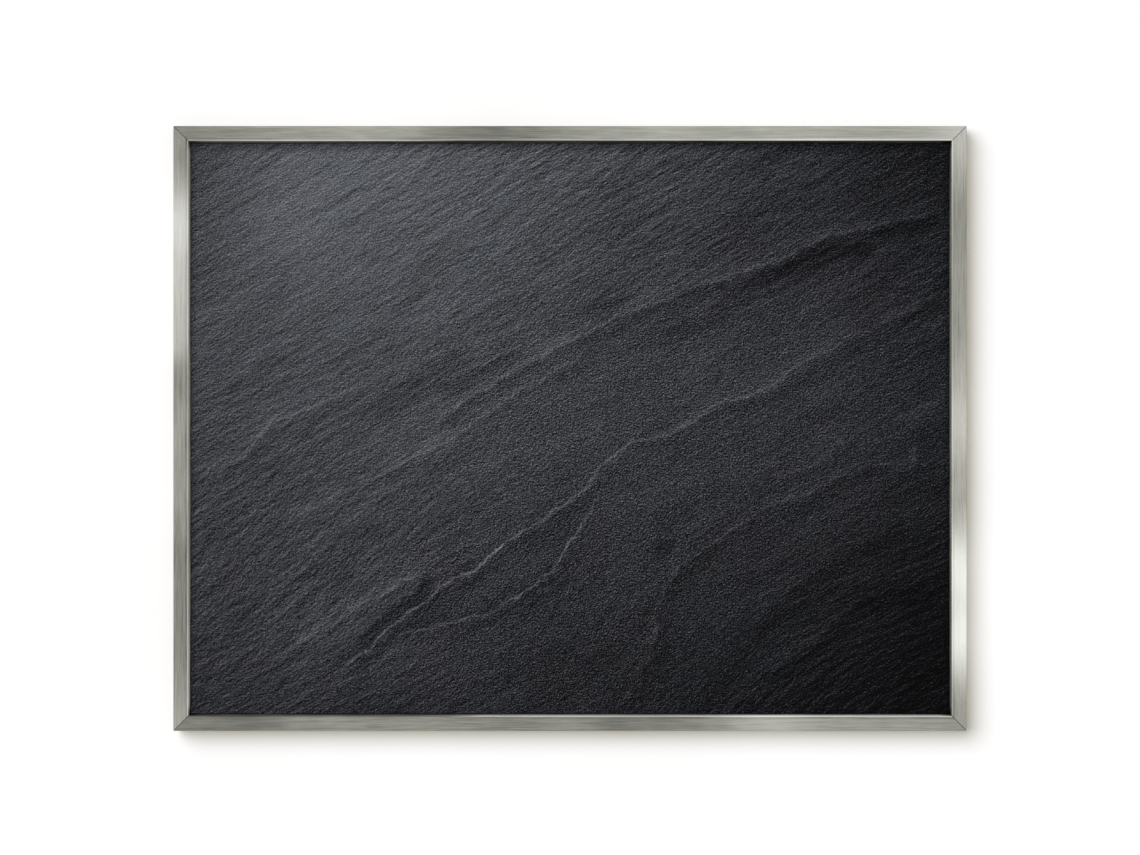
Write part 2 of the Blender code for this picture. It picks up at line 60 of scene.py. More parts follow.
# Steel sheet
# The board's magnetic core: one sheet of zinc-coated steel, cut to the panel's size with round corners.
# It lies between the print and the backing board, and the frame's lip holds all three.

def new_finish(name, plain):
    """A material and its node tree. The shader's plain sockets have these values."""
    made = bpy.data.materials.new(name)
    made.use_nodes = True
    for socket, value in plain.items():
        made.node_tree.nodes["Principled BSDF"].inputs[socket].default_value = value
    return made, made.node_tree


def add(tree, kind, inputs=(), **settings):
    """A new node. Inputs give each socket, by name or number, a value or another node's output."""
    made = tree.nodes.new(kind)
    for setting, value in settings.items():
        setattr(made, setting, value)
    for socket, value in dict(inputs).items():
        if isinstance(value, bpy.types.NodeSocket):
            tree.links.new(value, made.inputs[socket])
        else:
            made.inputs[socket].default_value = value
    return made


def calc(tree, operation, first, second=0.0, third=0.0):
    """The result of one Math node."""
    return add(tree, "ShaderNodeMath", {0: first, 1: second, 2: third}, operation=operation).outputs[0]


def spread(tree, value, low, high, to_low, to_high):
    """The value carried from one range to another, held at its ends."""
    limits = {"Value": value, "From Min": low, "From Max": high, "To Min": to_low, "To Max": to_high}
    return add(tree, "ShaderNodeMapRange", limits).outputs[0]


def blend_colours(tree, share, first, second):
    """The first colour where the share is 0 and the second where it is 1."""
    return add(tree, "ShaderNodeMix", {0: share, 6: first, 7: second}, data_type="RGBA").outputs[2]


def noise(tree, place, scale, detail, roughness):
    """Cloudy noise around one half."""
    settings = {"Vector": place, "Scale": scale, "Detail": detail, "Roughness": roughness}
    return add(tree, "ShaderNodeTexNoise", settings).outputs["Fac"]


def own_place(tree):
    """Where a point is on its piece, in metres."""
    return add(tree, "ShaderNodeTexCoord").outputs["Object"]


def new_group(name, vectors, numbers, results):
    """An empty node group with these sockets: the group, what it is given, and where its results go."""
    group = bpy.data.node_groups.new(name, "ShaderNodeTree")
    for sockets, way, kind in ((vectors, "INPUT", "Vector"), (numbers, "INPUT", "Float"),
                               (results, "OUTPUT", "Float")):
        for socket in sockets:
            group.interface.new_socket(socket, in_out=way, socket_type=f"NodeSocket{kind}")
    return group, group.nodes.new("NodeGroupInput").outputs, group.nodes.new("NodeGroupOutput").inputs


def clouds_group():
    """Cloudy noise, and a mask that goes from its least to its most as the noise goes from low to high."""
    settings = ("Scale", "Detail", "Roughness", "Low", "High", "Least", "Most")
    group, given, result = new_group("clouds", ("Place",), settings, ("Noise", "Mask"))
    cloudy = noise(group, given["Place"], given["Scale"], given["Detail"], given["Roughness"])
    mask = spread(group, cloudy, given["Low"], given["High"], given["Least"], given["Most"])
    group.links.new(cloudy, result["Noise"])
    group.links.new(mask, result["Mask"])
    return group


clouds_nodes = clouds_group()


def clouds(tree, place, scale, detail, roughness, low, high, least=0.0, most=1.0):
    """The clouds group, placed in a material with its own values: its noise and its mask."""
    settings = {"Place": place, "Scale": scale, "Detail": detail, "Roughness": roughness,
                "Low": low, "High": high, "Least": least, "Most": most}
    return add(tree, "ShaderNodeGroup", settings, node_tree=clouds_nodes).outputs


def paint(finish, colour, roughness=None, relief=None, strength=0.0, depth=0.0):
    """The finish, its colour, roughness and relief linked to its shader. A Bump node reads the relief."""
    tree = finish.node_tree
    shader = tree.nodes["Principled BSDF"]
    tree.links.new(colour, shader.inputs["Base Color"])
    if roughness is not None:
        tree.links.new(roughness, shader.inputs["Roughness"])
    if relief is not None:
        bump = add(tree, "ShaderNodeBump", {"Strength": strength, "Distance": depth, "Height": relief})
        tree.links.new(bump.outputs["Normal"], shader.inputs["Normal"])
    return finish


def dress(node_name, finish):
    """Give a CAD node its finish."""
    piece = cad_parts[node_name]
    if not piece.material_slots:
        piece.data.materials.append(finish)
    for slot in piece.material_slots:
        slot.material = finish


def sheet_steel_finish():
    """Zinc-coated sheet: a cell pattern for the spangle, and clouds that dull it."""
    finish, tree = new_finish("sheet_steel", {"Metallic": 1.0})
    place = own_place(tree)
    cells = add(tree, "ShaderNodeTexVoronoi", {"Vector": place, "Scale": 90.0}).outputs["Color"]
    facet = add(tree, "ShaderNodeSeparateColor", {"Color": cells}).outputs[0]
    spangle = blend_colours(tree, facet, (0.38, 0.39, 0.40, 1), (0.52, 0.53, 0.54, 1))
    dull = clouds(tree, place, 30, 2, 0.5, 0.3, 0.7, 0.36, 0.5)["Mask"]
    dull = calc(tree, "ADD", spread(tree, facet, 0, 1, -0.04, 0.04), dull)
    return paint(finish, spangle, dull)


dress("steel_sheet", sheet_steel_finish())


# Printed film
# A matt vinyl film on the front of the steel sheet, printed all over with a natural slate surface:
# a fine grain that runs up to the right, lit from the upper left, with the edges of split layers across it.

MM = 0.001
# Brightness is given on the display scale. This is its highest level, and the power that makes it light.
FULL_LEVEL = 255
DISPLAY_GAMMA = 2.2
# The print's tone: a base level, and soft humps of light and dark on it. Each has its height, its middle
# across and up, its half width and its half height, in metres from the middle of the board.
BASE_TONE = 7.5
TONE_HUMPS = (
    (84, -0.30, 0.58, 0.59, 0.99), (11, 0.27, 0.02, 0.24, 0.14), (-26, -0.41, 0.30, 0.08, 0.14),
    (5, -0.26, 0.22, 0.11, 0.07), (-3, -0.28, 0.12, 0.12, 0.06), (6, -0.25, -0.21, 0.08, 0.05),
    (5, 0.00, 0.27, 0.26, 0.06), (-3, -0.33, 0.00, 0.10, 0.07), (-5, 0.05, 0.08, 0.12, 0.11),
    (-4, 0.37, -0.15, 0.06, 0.16), (-2.5, 0.12, -0.08, 0.34, 0.24), (4, -0.09, 0.16, 0.24, 0.14),
    (-5, 0.02, -0.23, 0.14, 0.09), (-3, 0.38, -0.29, 0.12, 0.08), (-3, 0.00, -0.15, 0.09, 0.07),
    (3, 0.19, -0.18, 0.10, 0.06), (-7, 0.07, -0.30, 0.42, 0.08), (-8, 0.36, 0.30, 0.16, 0.10),
    (-7, 0.39, -0.27, 0.13, 0.16),
)
# Where the slate's face is rough and even, and not streaked: right of the middle, low in the middle, and
# partly at the upper left and the upper right. The humps are given in the same way.
ROUGH_HUMPS = (
    (1.3, 0.16, 0.0, 0.32, 0.16), (1.1, 0.0, -0.22, 0.17, 0.10),
    (0.5, -0.27, 0.20, 0.16, 0.13), (0.6, 0.33, 0.25, 0.14, 0.10),
)
# The grain rises to the right. Low in the middle a soft step pushes its lines down towards the left.
GRAIN_RISE = math.radians(30)
STEP_DROP = 0.045
STEP_X = 0.12
STEP_HALF_WIDTH = 0.10
STEP_Z = -0.25
STEP_HALF_HEIGHT = 0.13


def soft_humps(x, z, base, humps):
    """A base level with humps on it, which fade by the square of the distance in their half widths."""
    level = np.full_like(x, base)
    for height, middle_x, middle_z, half_x, half_z in humps:
        level += height * np.exp(-((x - middle_x) / half_x) ** 2 - ((z - middle_z) / half_z) ** 2)
    return level


def grain_way(x, z):
    """How far a point lies along the slate's grain and across it: its place turned by the grain's rise, less
    a smooth step from left to right that fades above and below its middle."""
    along = x * math.cos(GRAIN_RISE) + z * math.sin(GRAIN_RISE)
    across = z * math.cos(GRAIN_RISE) - x * math.sin(GRAIN_RISE)
    step = STEP_DROP * np.tanh((x - STEP_X) / STEP_HALF_WIDTH)
    across = across - step * np.exp(-((z - STEP_Z) / STEP_HALF_HEIGHT) ** 2)
    return np.stack([along, across, np.zeros_like(x)], axis=1)


# Each split edge: its set, four levels that change along the route, and the route in millimetres from the
# middle. The levels are the lit line, the slope above it, the slope just below it and the dip further below.
# Routes that run close together are in different sets.
SPLIT_EDGES = (
    (1, (9, 12, 8, 8, 10), (7, 10, 8, 11, 7), (2, 0, 0, 0), (-11, -6, -7, -12, -8),
     ((-139, 5), (-104, 29), (-53, 59), (-28, 74), (22, 99), (73, 121), (123, 142), (173, 156), (224, 175),
      (249, 190), (289, 201), (325, 207), (379, 221))),
    (2, (11, 10, 13), (7, 8, 7), (8, 8, 0), (0, 0, -5),
     ((-285, -95), (-240, -67), (-190, -45), (-129, -15), (-79, 19), (-28, 51), (17, 74))),
    (1, (10, 13, 8), (4, 7, 5), (5, 5, 0), (-4, -4, -2),
     ((-379, -55), (-331, -30), (-311, -2), (-290, 10), (-260, 21), (-205, 44))),
    (3, (34, 34, 24, 20, 11, 10, 10), (-9, -6, 0, 0, 9, 8, 7), (8, 14, 18, 8, 9, 6, 6),
     (-10, -10, -9, -5, -8, -5, -8),
     ((-235, -244), (-205, -223), (-179, -198), (-144, -173), (-129, -157), (-94, -141), (-69, -117),
      (-18, -85), (17, -60), (32, -35), (63, -12), (108, -2), (148, 24), (204, 41), (224, 59), (274, 86),
      (335, 116), (379, 138))),
    (1, (24, 26, 38, 26), (-6, -9, -10, -4), (5, 6, 2, 0), (-6, -6, -6, -3),
     ((-174, -208), (-129, -198), (-84, -186), (-48, -166), (-18, -143), (-1, -116), (22, -80), (32, -65))),
    (2, (6, 8, 8), (10, 11, 11), (13, 14, 12), (2, 0, -4),
     ((-285, -216), (-240, -191), (-179, -161), (-146, -139))),
    (4, (0, 0), (5, 6), (0, 0), (-7, -14),
     ((-225, -218), (-190, -188), (-159, -166), (-144, -143))),
    (4, (12, 10, 18, 14, 10), (4, 2, 2, 4, 6), (5, 3, 0, 3, 5), (-3, -5, -8, -4, -2),
     ((49, -286), (65, -257), (83, -221), (88, -176), (108, -141), (158, -105), (199, -80), (239, -65),
      (289, -42), (345, -30))),
    (2, (14, 14), (8, 7), (5, 4), (-2, -2),
     ((335, -50), (347, -35), (345, -20), (352, -5))),
    (1, (14, 12), (-3, -3), (2, 2), (2, 2),
     ((325, 10), (340, 16), (360, 24), (379, 33))),
    (2, (6, 6), (5, 5), (8, 8), (-3, -3),
     ((199, -55), (224, -45), (249, -35), (269, -15), (289, -5))),
    (2, (-8, -8), (-3, -3), (0, 0), (-5, -5),
     ((173, -208), (214, -191), (234, -176), (259, -161), (325, -163), (375, -168))),
    (3, (-3, -3), (2, 3), (0, 0), (-6, -6),
     ((189, -191), (224, -161), (254, -141), (284, -121), (315, -105), (340, -85))),
    (2, (-12, -14), (-5, -4), (0, 0), (-7, -7),
     ((-205, 8), (-179, 36), (-144, 61), (-99, 86))),
    (3, (12, 14), (-2, -3), (0, 0), (-13, -12),
     ((-144, 41), (-119, 51), (-79, 71), (-43, 89))),
    (2, (7, 7), (-6, -5), (0, 0), (-8, -9),
     ((7, 121), (37, 131), (68, 140))),
    (2, (-12, -10, -4), (0, 3, 6), (0, 0, 0), (-5, -9, -11),
     ((73, 88), (123, 112), (148, 126), (178, 149), (224, 168), (274, 186), (315, 188))),
    (3, (5, 5), (5, 4), (4, 4), (-6, -6),
     ((190, -249), (224, -232), (269, -191), (294, -171), (325, -168))),
    (2, (16, 16), (0, 0), (4, 4), (-14, -14),
     ((74, -114), (91, -109), (108, -107))),
    (3, (-10, -10), (0, 0), (0, 0), (-3, -3),
     ((-18, -221), (22, -237))),
)
EDGE_SETS = (1, 2, 3, 4)
# How far from its line a split edge shows, and how far from its tips it has faded in, in millimetres.
EDGE_REACH = 30.0
EDGE_TIP = 20.0


def smooth_route(route):
    """A route through its points at 2 mm steps, its bends eased by a running mean over seven steps."""
    points = np.array(route, float)
    along = np.concatenate(([0.0], np.cumsum(np.linalg.norm(np.diff(points, axis=0), axis=1))))
    places = np.linspace(0, along[-1], int(along[-1] / 2) + 2)
    line = np.stack([np.interp(places, along, points[:, k]) for k in range(2)], axis=1)
    eased = np.pad(line, ((3, 3), (0, 0)), mode="reflect", reflect_type="odd")
    return sum(eased[k:k + len(line)] for k in range(7)) / 7, places


def edge_fields(x, z):
    """For each set, how many millimetres a point lies above its nearest split edge, and the edge's levels.

    The distance runs along the normal of the route's nearest point. The levels change along the route, and
    fade to nothing towards its tips and at the edge's reach, by a smooth step.
    """
    spots = np.stack([x, z], axis=1) / MM
    fields = {number: np.tile((EDGE_REACH, 0.0, 0.0, 0.0, 0.0), (len(spots), 1)) for number in EDGE_SETS}
    nearest = {number: np.full(len(spots), np.inf) for number in EDGE_SETS}
    for number, *levels, route in SPLIT_EDGES:
        line, along = smooth_route(route)
        ahead = np.gradient(line, axis=0)
        ahead /= np.linalg.norm(ahead, axis=1)[:, None]
        above = np.stack([-ahead[:, 1], ahead[:, 0]], axis=1)
        apart = np.sqrt(((spots[:, None, :] - line[None]) ** 2).sum(axis=2))
        closest = apart.argmin(axis=1)
        gap = apart.min(axis=1)
        signed = ((spots - line[closest]) * above[closest]).sum(axis=1)
        tip = np.clip(np.minimum(along, along[-1] - along) / min(EDGE_TIP, along[-1] / 2), 0, 1)[closest]
        fade = np.clip(2 - 2 * gap / EDGE_REACH, 0, 1)
        weight = tip * tip * (3 - 2 * tip) * fade * fade * (3 - 2 * fade) / FULL_LEVEL
        share = (along / along[-1])[closest]
        shown = [weight * np.interp(share, np.linspace(0, 1, len(row)), row) for row in levels]
        chosen = gap < nearest[number]
        nearest[number][chosen] = gap[chosen]
        fields[number][chosen] = np.stack([signed, *shown], axis=1)[chosen]
    return fields


def put_in_scene(name, data):
    """An object that holds this data, in the scene."""
    made = bpy.data.objects.new(name, data)
    bpy.context.scene.collection.objects.link(made)
    return made


def solid_piece(name, points, faces, finish):
    """A mesh object from its points and faces, turned outwards, smooth but for its sharp edges."""
    mesh = bpy.data.meshes.new(name)
    mesh.from_pydata(points, [], faces)
    shell = bmesh.new()
    shell.from_mesh(mesh)
    bmesh.ops.recalc_face_normals(shell, faces=shell.faces)
    shell.to_mesh(mesh)
    shell.free()
    mesh.shade_smooth()
    mesh.set_sharp_from_angle(angle=math.radians(40))
    mesh.materials.append(finish)
    piece = put_in_scene(name, mesh)
    return piece


def write_attribute(mesh, name, values):
    """Store one number or one vector for each point of the mesh."""
    kind, key = ("FLOAT", "value") if values.ndim == 1 else ("FLOAT_VECTOR", "vector")
    made = mesh.attributes.new(name, kind, "POINT")
    made.data.foreach_set(key, values.astype(np.float32).ravel())


def grid_faces(rows, columns, closed=False):
    """The quads of a grid of points; a closed grid joins its last column to its first."""
    last = columns if closed else columns - 1
    row, column = np.meshgrid(np.arange(rows - 1), np.arange(last), indexing="ij")
    beside = (column + 1) % columns
    quads = np.stack([row * columns + column, row * columns + beside,
                      (row + 1) * columns + beside, (row + 1) * columns + column], axis=-1)
    return quads.reshape(-1, 4).tolist()


def film_points(low, high, radius, cell):
    """The film's front on a grid. Each row is as wide as the round-cornered outline is at its height."""
    half_x = (high.x - low.x) / 2
    half_z = (high.z - low.z) / 2
    corner = half_z - radius + radius * np.sin(np.radians((0, 30, 55, 75, 90)))
    straight = half_z - radius
    inner = np.linspace(-straight, straight, int(2 * straight / cell))
    heights = np.concatenate((-corner[:0:-1], inner, corner[1:]))
    past = np.maximum(np.abs(heights) - straight, 0)
    reach = half_x - radius + np.sqrt(radius ** 2 - np.minimum(past, radius) ** 2)
    across = np.linspace(-1, 1, int(2 * half_x / cell))
    x = reach[:, None] * across[None, :]
    z = np.repeat(heights[:, None], len(across), axis=1)
    y = np.full_like(x, low.y)
    return np.stack([x, y, z], axis=-1).reshape(-1, 3), len(heights), len(across)


def product(tree, first, *others):
    """The values multiplied together, from left to right."""
    for other in others:
        first = calc(tree, "MULTIPLY", first, other)
    return first


# In millimetres: the half width of a split edge's lit line, the lengths in which its slopes fade above and
# below it, and how far below it the dip is deepest.
LINE_WIDTH = 1.4
FADE_ABOVE = 8.0
FADE_BELOW = 4.0
DIP_BELOW = 6.0


def split_edge_group():
    """How a split edge shows: a thin lit line, slopes that fade above and below it, and a dip below."""
    group, given, result = new_group("split_edge", ("Levels",), ("Distance", "Dip", "Patches"),
                                     ("Level", "Lit"))
    levels = add(group, "ShaderNodeSeparateXYZ", {0: given["Levels"]}).outputs
    upper = calc(group, "MAXIMUM", given["Distance"], 0.0)
    lower = calc(group, "MAXIMUM", product(group, given["Distance"], -1.0), 0.0)
    is_above = calc(group, "GREATER_THAN", given["Distance"], 0.0)
    is_below = calc(group, "SUBTRACT", 1.0, is_above)
    line = calc(group, "DIVIDE", calc(group, "ADD", upper, lower), LINE_WIDTH)
    line = calc(group, "EXPONENT", product(group, calc(group, "POWER", line, 2.0), -1.0))
    above = calc(group, "EXPONENT", calc(group, "DIVIDE", upper, -FADE_ABOVE))
    below = calc(group, "EXPONENT", calc(group, "DIVIDE", lower, -FADE_BELOW))
    slopes = calc(group, "ADD", product(group, above, levels[1], is_above),
                  product(group, below, levels[2], is_below))
    depth = calc(group, "DIVIDE", lower, DIP_BELOW)
    depth = product(group, depth, calc(group, "EXPONENT", calc(group, "SUBTRACT", 1.0, depth)))
    level = calc(group, "ADD", slopes, product(group, depth, given["Dip"]))
    group.links.new(level, result["Level"])
    group.links.new(product(group, line, levels[0], given["Patches"]), result["Lit"])
    return group


def written(tree, name, output):
    """What the mesh stores under this name: "Fac" for its numbers, "Vector" for its vectors."""
    return add(tree, "ShaderNodeAttribute", attribute_name=name).outputs[output]


def vector_calc(tree, operation, first, second):
    """The result of one Vector Math node. A plain number stands for all three of its numbers."""
    return add(tree, "ShaderNodeVectorMath", {0: first, 1: second}, operation=operation).outputs[0]


def around_zero(tree, place, scale, detail, roughness):
    """Noise less one half."""
    return calc(tree, "SUBTRACT", noise(tree, place, scale, detail, roughness), 0.5)


def longer(tree, way, length):
    """The grain's own place with its length divided, so that a pattern on it is that many times longer."""
    return vector_calc(tree, "MULTIPLY", way, (1 / length, 1, 1))


def embossed(tree, place, shift, scale, detail, roughness):
    """Noise less the same noise a little further along, so that its slopes look lit from one side."""
    moved = vector_calc(tree, "ADD", place, shift)
    return calc(tree, "SUBTRACT", noise(tree, moved, scale, detail, roughness),
                noise(tree, place, scale, detail, roughness))


def terraced(tree, place, scale, steps):
    """Noise turned into flat treads, with a short riser up to each next one."""
    height = product(tree, noise(tree, place, scale, 3, 0.55), steps)
    riser = spread(tree, calc(tree, "FRACT", height), 0.44, 0.56, 0, 1)
    return calc(tree, "ADD", calc(tree, "FLOOR", height), riser)


# How strongly the split edges' slopes and lit lines show on the tone.
SLOPE_SHARE = 1.45
LINE_SHARE = 1.15


def with_split_edges(tree, place, level):
    """The level with the split edges on it, and how brightly their lines are lit.

    Noise moves the edges by some millimetres, and other noise breaks their lines into brighter and dimmer
    patches.
    """
    split_edge = split_edge_group()
    wander = product(tree, around_zero(tree, place, 55, 4, 0.6), 14.0)
    wander = calc(tree, "MULTIPLY_ADD", around_zero(tree, place, 300, 2, 0.6), 5.0, wander)
    patches = product(tree, clouds(tree, place, 75, 2, 0.6, 0.38, 0.62, 0.5, 1.3)["Mask"],
                      clouds(tree, place, 420, 2, 0.6, 0.38, 0.62, 0.75, 1.35)["Mask"])
    lit = 0.0
    for number in EDGE_SETS:
        edge = add(tree, "ShaderNodeSeparateXYZ", {0: written(tree, f"edge_{number}", "Vector")}).outputs
        given = {"Levels": written(tree, f"levels_{number}", "Vector"), "Patches": patches,
                 "Distance": calc(tree, "ADD", wander, edge[0]), "Dip": edge[1]}
        shown = add(tree, "ShaderNodeGroup", given, node_tree=split_edge).outputs
        level = calc(tree, "MULTIPLY_ADD", shown["Level"], SLOPE_SHARE, level)
        lit = calc(tree, "ADD", lit, shown["Lit"])
    return calc(tree, "MULTIPLY_ADD", lit, LINE_SHARE, level), lit


def with_layers(tree, way, streaked, level):
    """The level with the slate's layers on it: slow drifts, lit bands and threads along the grain, dark
    cracks, and the broken edges of thin leaves, dark on one side and lit on the other."""
    drift = around_zero(tree, longer(tree, way, 4), 40, 3, 0.55)
    level = calc(tree, "MULTIPLY_ADD", drift, 0.11, level)
    bands = embossed(tree, longer(tree, way, 4), (0, 0.0022, 0), 130, 3, 0.6)
    level = calc(tree, "MULTIPLY_ADD", bands, calc(tree, "MULTIPLY_ADD", streaked, 0.24, 0.12), level)
    threads = embossed(tree, longer(tree, way, 3.5), (0, 0.0012, 0), 240, 2, 0.6)
    level = calc(tree, "MULTIPLY_ADD", threads, calc(tree, "MULTIPLY_ADD", streaked, 0.16, 0.12), level)
    shade = clouds(tree, longer(tree, way, 7), 270, 2, 0.55, 0.54, 0.70)["Mask"]
    where = clouds(tree, longer(tree, way, 2), 16, 2, 0.5, 0.42, 0.58, 0.2, 1)["Mask"]
    cracks = product(tree, shade, where, streaked)
    level = product(tree, level, calc(tree, "MULTIPLY_ADD", cracks, -0.32, 1.0))
    leaves = longer(tree, way, 6)
    raised = vector_calc(tree, "ADD", leaves, (0, 0.0012, 0))
    riser = calc(tree, "SUBTRACT", terraced(tree, raised, 46, 6), terraced(tree, leaves, 46, 6))
    broken = clouds(tree, longer(tree, way, 3), 60, 2, 0.5, 0.42, 0.54)["Mask"]
    riser = product(tree, riser, broken, calc(tree, "MULTIPLY_ADD", streaked, 0.8, 0.2))
    shaded = product(tree, calc(tree, "MAXIMUM", riser, 0.0), -0.42)
    caught = product(tree, calc(tree, "MINIMUM", riser, 0.0), -0.20)
    return product(tree, level, calc(tree, "ADD", calc(tree, "ADD", shaded, caught), 1.0))


def slate_grain(tree, place, way, speckled):
    """The finest grain: streaks along the slate's grain, and lit speckles, more where its face is rough."""
    streaks = embossed(tree, longer(tree, way, 1.7), (0, 0.0008, 0), 500, 3, 0.75)
    strands = around_zero(tree, longer(tree, way, 2.2), 600, 4, 0.8)
    streaks = calc(tree, "MULTIPLY_ADD", strands, 0.6, product(tree, streaks, 0.7))
    lit = embossed(tree, place, (-0.0003, 0, 0.0006), 560, 2, 0.75)
    speckle = calc(tree, "MULTIPLY_ADD", around_zero(tree, place, 620, 4, 0.8), 0.9, lit)
    share = calc(tree, "MULTIPLY_ADD", speckled, 0.35, 0.55)
    return calc(tree, "ADD", product(tree, streaks, calc(tree, "SUBTRACT", 1.15, share)),
                product(tree, speckle, share))


# How far the frame's lip covers the film, and how far its painted shadow reaches over the print, in metres.
LIP_COVER = 0.0154
SHADE_LEFT = 0.007
SHADE_RIGHT = 0.006
SHADE_TOP = 0.010


def painted_lip_shadow(tree, across, low, high):
    """A painted shadow of the lip on the print beside it, left, right and top: the share of its level kept
    there.
    """
    left = low.x + LIP_COVER
    right = high.x - LIP_COVER
    top = high.z - LIP_COVER
    return product(tree, spread(tree, across[0], left, left + SHADE_LEFT, 0.80, 1),
                   spread(tree, across[0], right - SHADE_RIGHT, right, 1, 0.78),
                   spread(tree, across[2], top - SHADE_TOP, top, 1, 0.68))


def slate_finish(low, high):
    """Ink on matt film: tone, split edges, layers and grain, the lip's painted shadow, then the slate's cool
    tint.
    """
    finish, tree = new_finish("slate_print", {"Roughness": 0.6, "Specular IOR Level": 0.05})
    place = own_place(tree)
    across = add(tree, "ShaderNodeSeparateXYZ", {0: place}).outputs
    way = written(tree, "grain_way", "Vector")
    tone = written(tree, "tone", "Fac")
    speckled = written(tree, "speckled", "Fac")
    streaked = product(tree, calc(tree, "SUBTRACT", 1.0, speckled),
                       spread(tree, across[0], -0.36, -0.06, 0.72, 1))
    level, lit_edges = with_split_edges(tree, place, tone)
    level = with_layers(tree, way, streaked, level)
    grain = slate_grain(tree, place, way, speckled)
    strength = product(tree, spread(tree, tone, 0.05, 0.18, 1.12, 1.28),
                       spread(tree, tone, 0.25, 0.34, 1, 0.86),
                       spread(tree, lit_edges, 0, 0.10, 1, 0.65),
                       spread(tree, across[0], -0.36, -0.10, 0.84, 1),
                       spread(tree, across[0], 0.05, 0.35, 1, 0.86))
    level = calc(tree, "MULTIPLY_ADD", grain, strength, level)
    # The lip's shadow, painted into the print's colour at its left, right and top.
    level = product(tree, level, painted_lip_shadow(tree, across, low, high))
    ink = calc(tree, "POWER", calc(tree, "MAXIMUM", level, 0.02), DISPLAY_GAMMA)
    hue = blend_colours(tree, spread(tree, level, 0.10, 0.36, 0, 1),
                        (0.980, 1.0, 1.225, 1), (0.970, 1.0, 1.118, 1))
    clouded = blend_colours(tree, clouds(tree, place, 9, 2, 0.5, 0.38, 0.62)["Mask"],
                            (1.008, 1.0, 0.995, 1), (0.968, 1.0, 0.985, 1))
    colour = vector_calc(tree, "MULTIPLY", vector_calc(tree, "MULTIPLY", hue, clouded), ink)
    return paint(finish, colour, relief=grain, strength=0.15, depth=0.0001)


# The film's corner radius and the size of its grid's cells, in metres.
FILM_CORNER = 0.002
FILM_CELL = 0.0042


def lay_film():
    """The film: a grid with its tone and split edges written on it, and a wall as thick as the CAD film."""
    low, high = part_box("printed_film")
    points, rows, columns = film_points(low, high, FILM_CORNER, FILM_CELL)
    x, z = points[:, 0], points[:, 2]
    finish = slate_finish(low, high)
    film = solid_piece("slate_film", points, grid_faces(rows, columns), finish)
    write_attribute(film.data, "tone", soft_humps(x, z, BASE_TONE, TONE_HUMPS) / FULL_LEVEL)
    write_attribute(film.data, "speckled", np.clip(soft_humps(x, z, 0.0, ROUGH_HUMPS), 0, 1))
    write_attribute(film.data, "grain_way", grain_way(x, z))
    for number, field in edge_fields(x, z).items():
        write_attribute(film.data, f"edge_{number}", field[:, (0, 4, 4)])
        write_attribute(film.data, f"levels_{number}", field[:, 1:4])
    if film.data.polygons[0].normal.y > 0:
        film.data.flip_normals()
    wall = film.modifiers.new("film_thickness", "SOLIDIFY")
    wall.thickness = high.y - low.y
    wall.offset = -1
    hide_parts("printed_film")
    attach(film, "frame")


lay_film()


# Backing board
# A 5 mm MDF panel behind the steel sheet, sawn and lightly sanded at its edges. The spring clips press it
# forwards, so that the whole pack sits against the frame's lip.

def stretched(tree, place, degrees, lengths):
    """The place turned so that its X runs at an angle across the back, divided by the pattern's lengths."""
    settings = {"Vector": place, "Rotation": (0, -math.radians(degrees), 0), "Scale": lengths}
    return add(tree, "ShaderNodeMapping", settings, vector_type="TEXTURE").outputs[0]


def fibreboard_finish():
    """Pressed fibres: short fine strands in three directions over a lightly clouded brown, with flecks."""
    finish, tree = new_finish("backing_fibreboard", {"Specular IOR Level": 0.3})
    place = own_place(tree)
    fibre = 0.0
    for degrees in (15, 78, 135):
        strands = noise(tree, stretched(tree, place, degrees, (6, 1, 1)), 1250, 3, 0.65)
        fibre = calc(tree, "MAXIMUM", fibre, strands)
    pale = blend_colours(tree, clouds(tree, place, 14, 5, 0.65, 0.35, 0.65)["Mask"],
                         (0.275, 0.178, 0.105, 1), (0.32, 0.21, 0.128, 1))
    brown = blend_colours(tree, spread(tree, fibre, 0.48, 0.72, 0, 0.6), pale, (0.41, 0.295, 0.19, 1))
    flecks = clouds(tree, stretched(tree, place, 40, (2.5, 1, 1)), 1300, 2, 0.5, 0.62, 0.74, 0, 0.55)["Mask"]
    flecked = blend_colours(tree, flecks, brown, (0.13, 0.078, 0.045, 1))
    rough = spread(tree, fibre, 0.45, 0.75, 0.72, 0.92)
    return paint(finish, flecked, rough, fibre, 0.5, 0.0001)


dress("backing_board", fibreboard_finish())


# Frame rails
# Four lengths of one extrusion in brushed metal, cut to mitres. Seen from the front each has a flat face, a
# groove, a bead and a lip that slopes down to the print; its back holds a channel for the hardware.

# The rails' backs stand this far off the wall. The edges of each mitre have a slight bevel, on which only
# this share of the bar's painted sheen is left, as painted shade in the joint.
STANDOFF = 5.0 * MM
BEVEL = 0.22 * MM
PAINTED_MITRE_SHADE = 0.35
BAR_STATIONS = 64
# The section's corners as (in from the outer side, forward from the back plane, rounding), in millimetres.
RAIL_CORNERS = (
    (0.0, 0.0, 0.3), (0.0, 20.0, 1.2), (11.2, 20.0, 8.0), (12.6, 19.95, 0.15), (12.85, 19.5, 0.12),
    (13.9, 19.5, 0.12), (13.9, 20.0, 0.64), (15.2, 20.0, 0.64), (15.2, 19.2, 0.15), (15.8, 18.6, 3.0),
    (16.35, 17.98, 6.0), (17.4, 16.7, 0.15), (17.35, 16.5, 0.05),
    (16.0, 16.5, 0.15), (13.8, 18.6, 0.3), (1.3, 18.6, 0.3), (1.3, 7.0, 0.2), (12.5, 7.0, 0.2),
    (12.5, 0.0, 0.25), (9.6, 0.0, 0.15), (9.6, 1.3, 0.15), (11.2, 1.3, 0.15), (11.2, 5.7, 0.15),
    (1.3, 5.7, 0.15), (1.3, 1.3, 0.15), (2.9, 1.3, 0.15), (2.9, 0.0, 0.15),
)
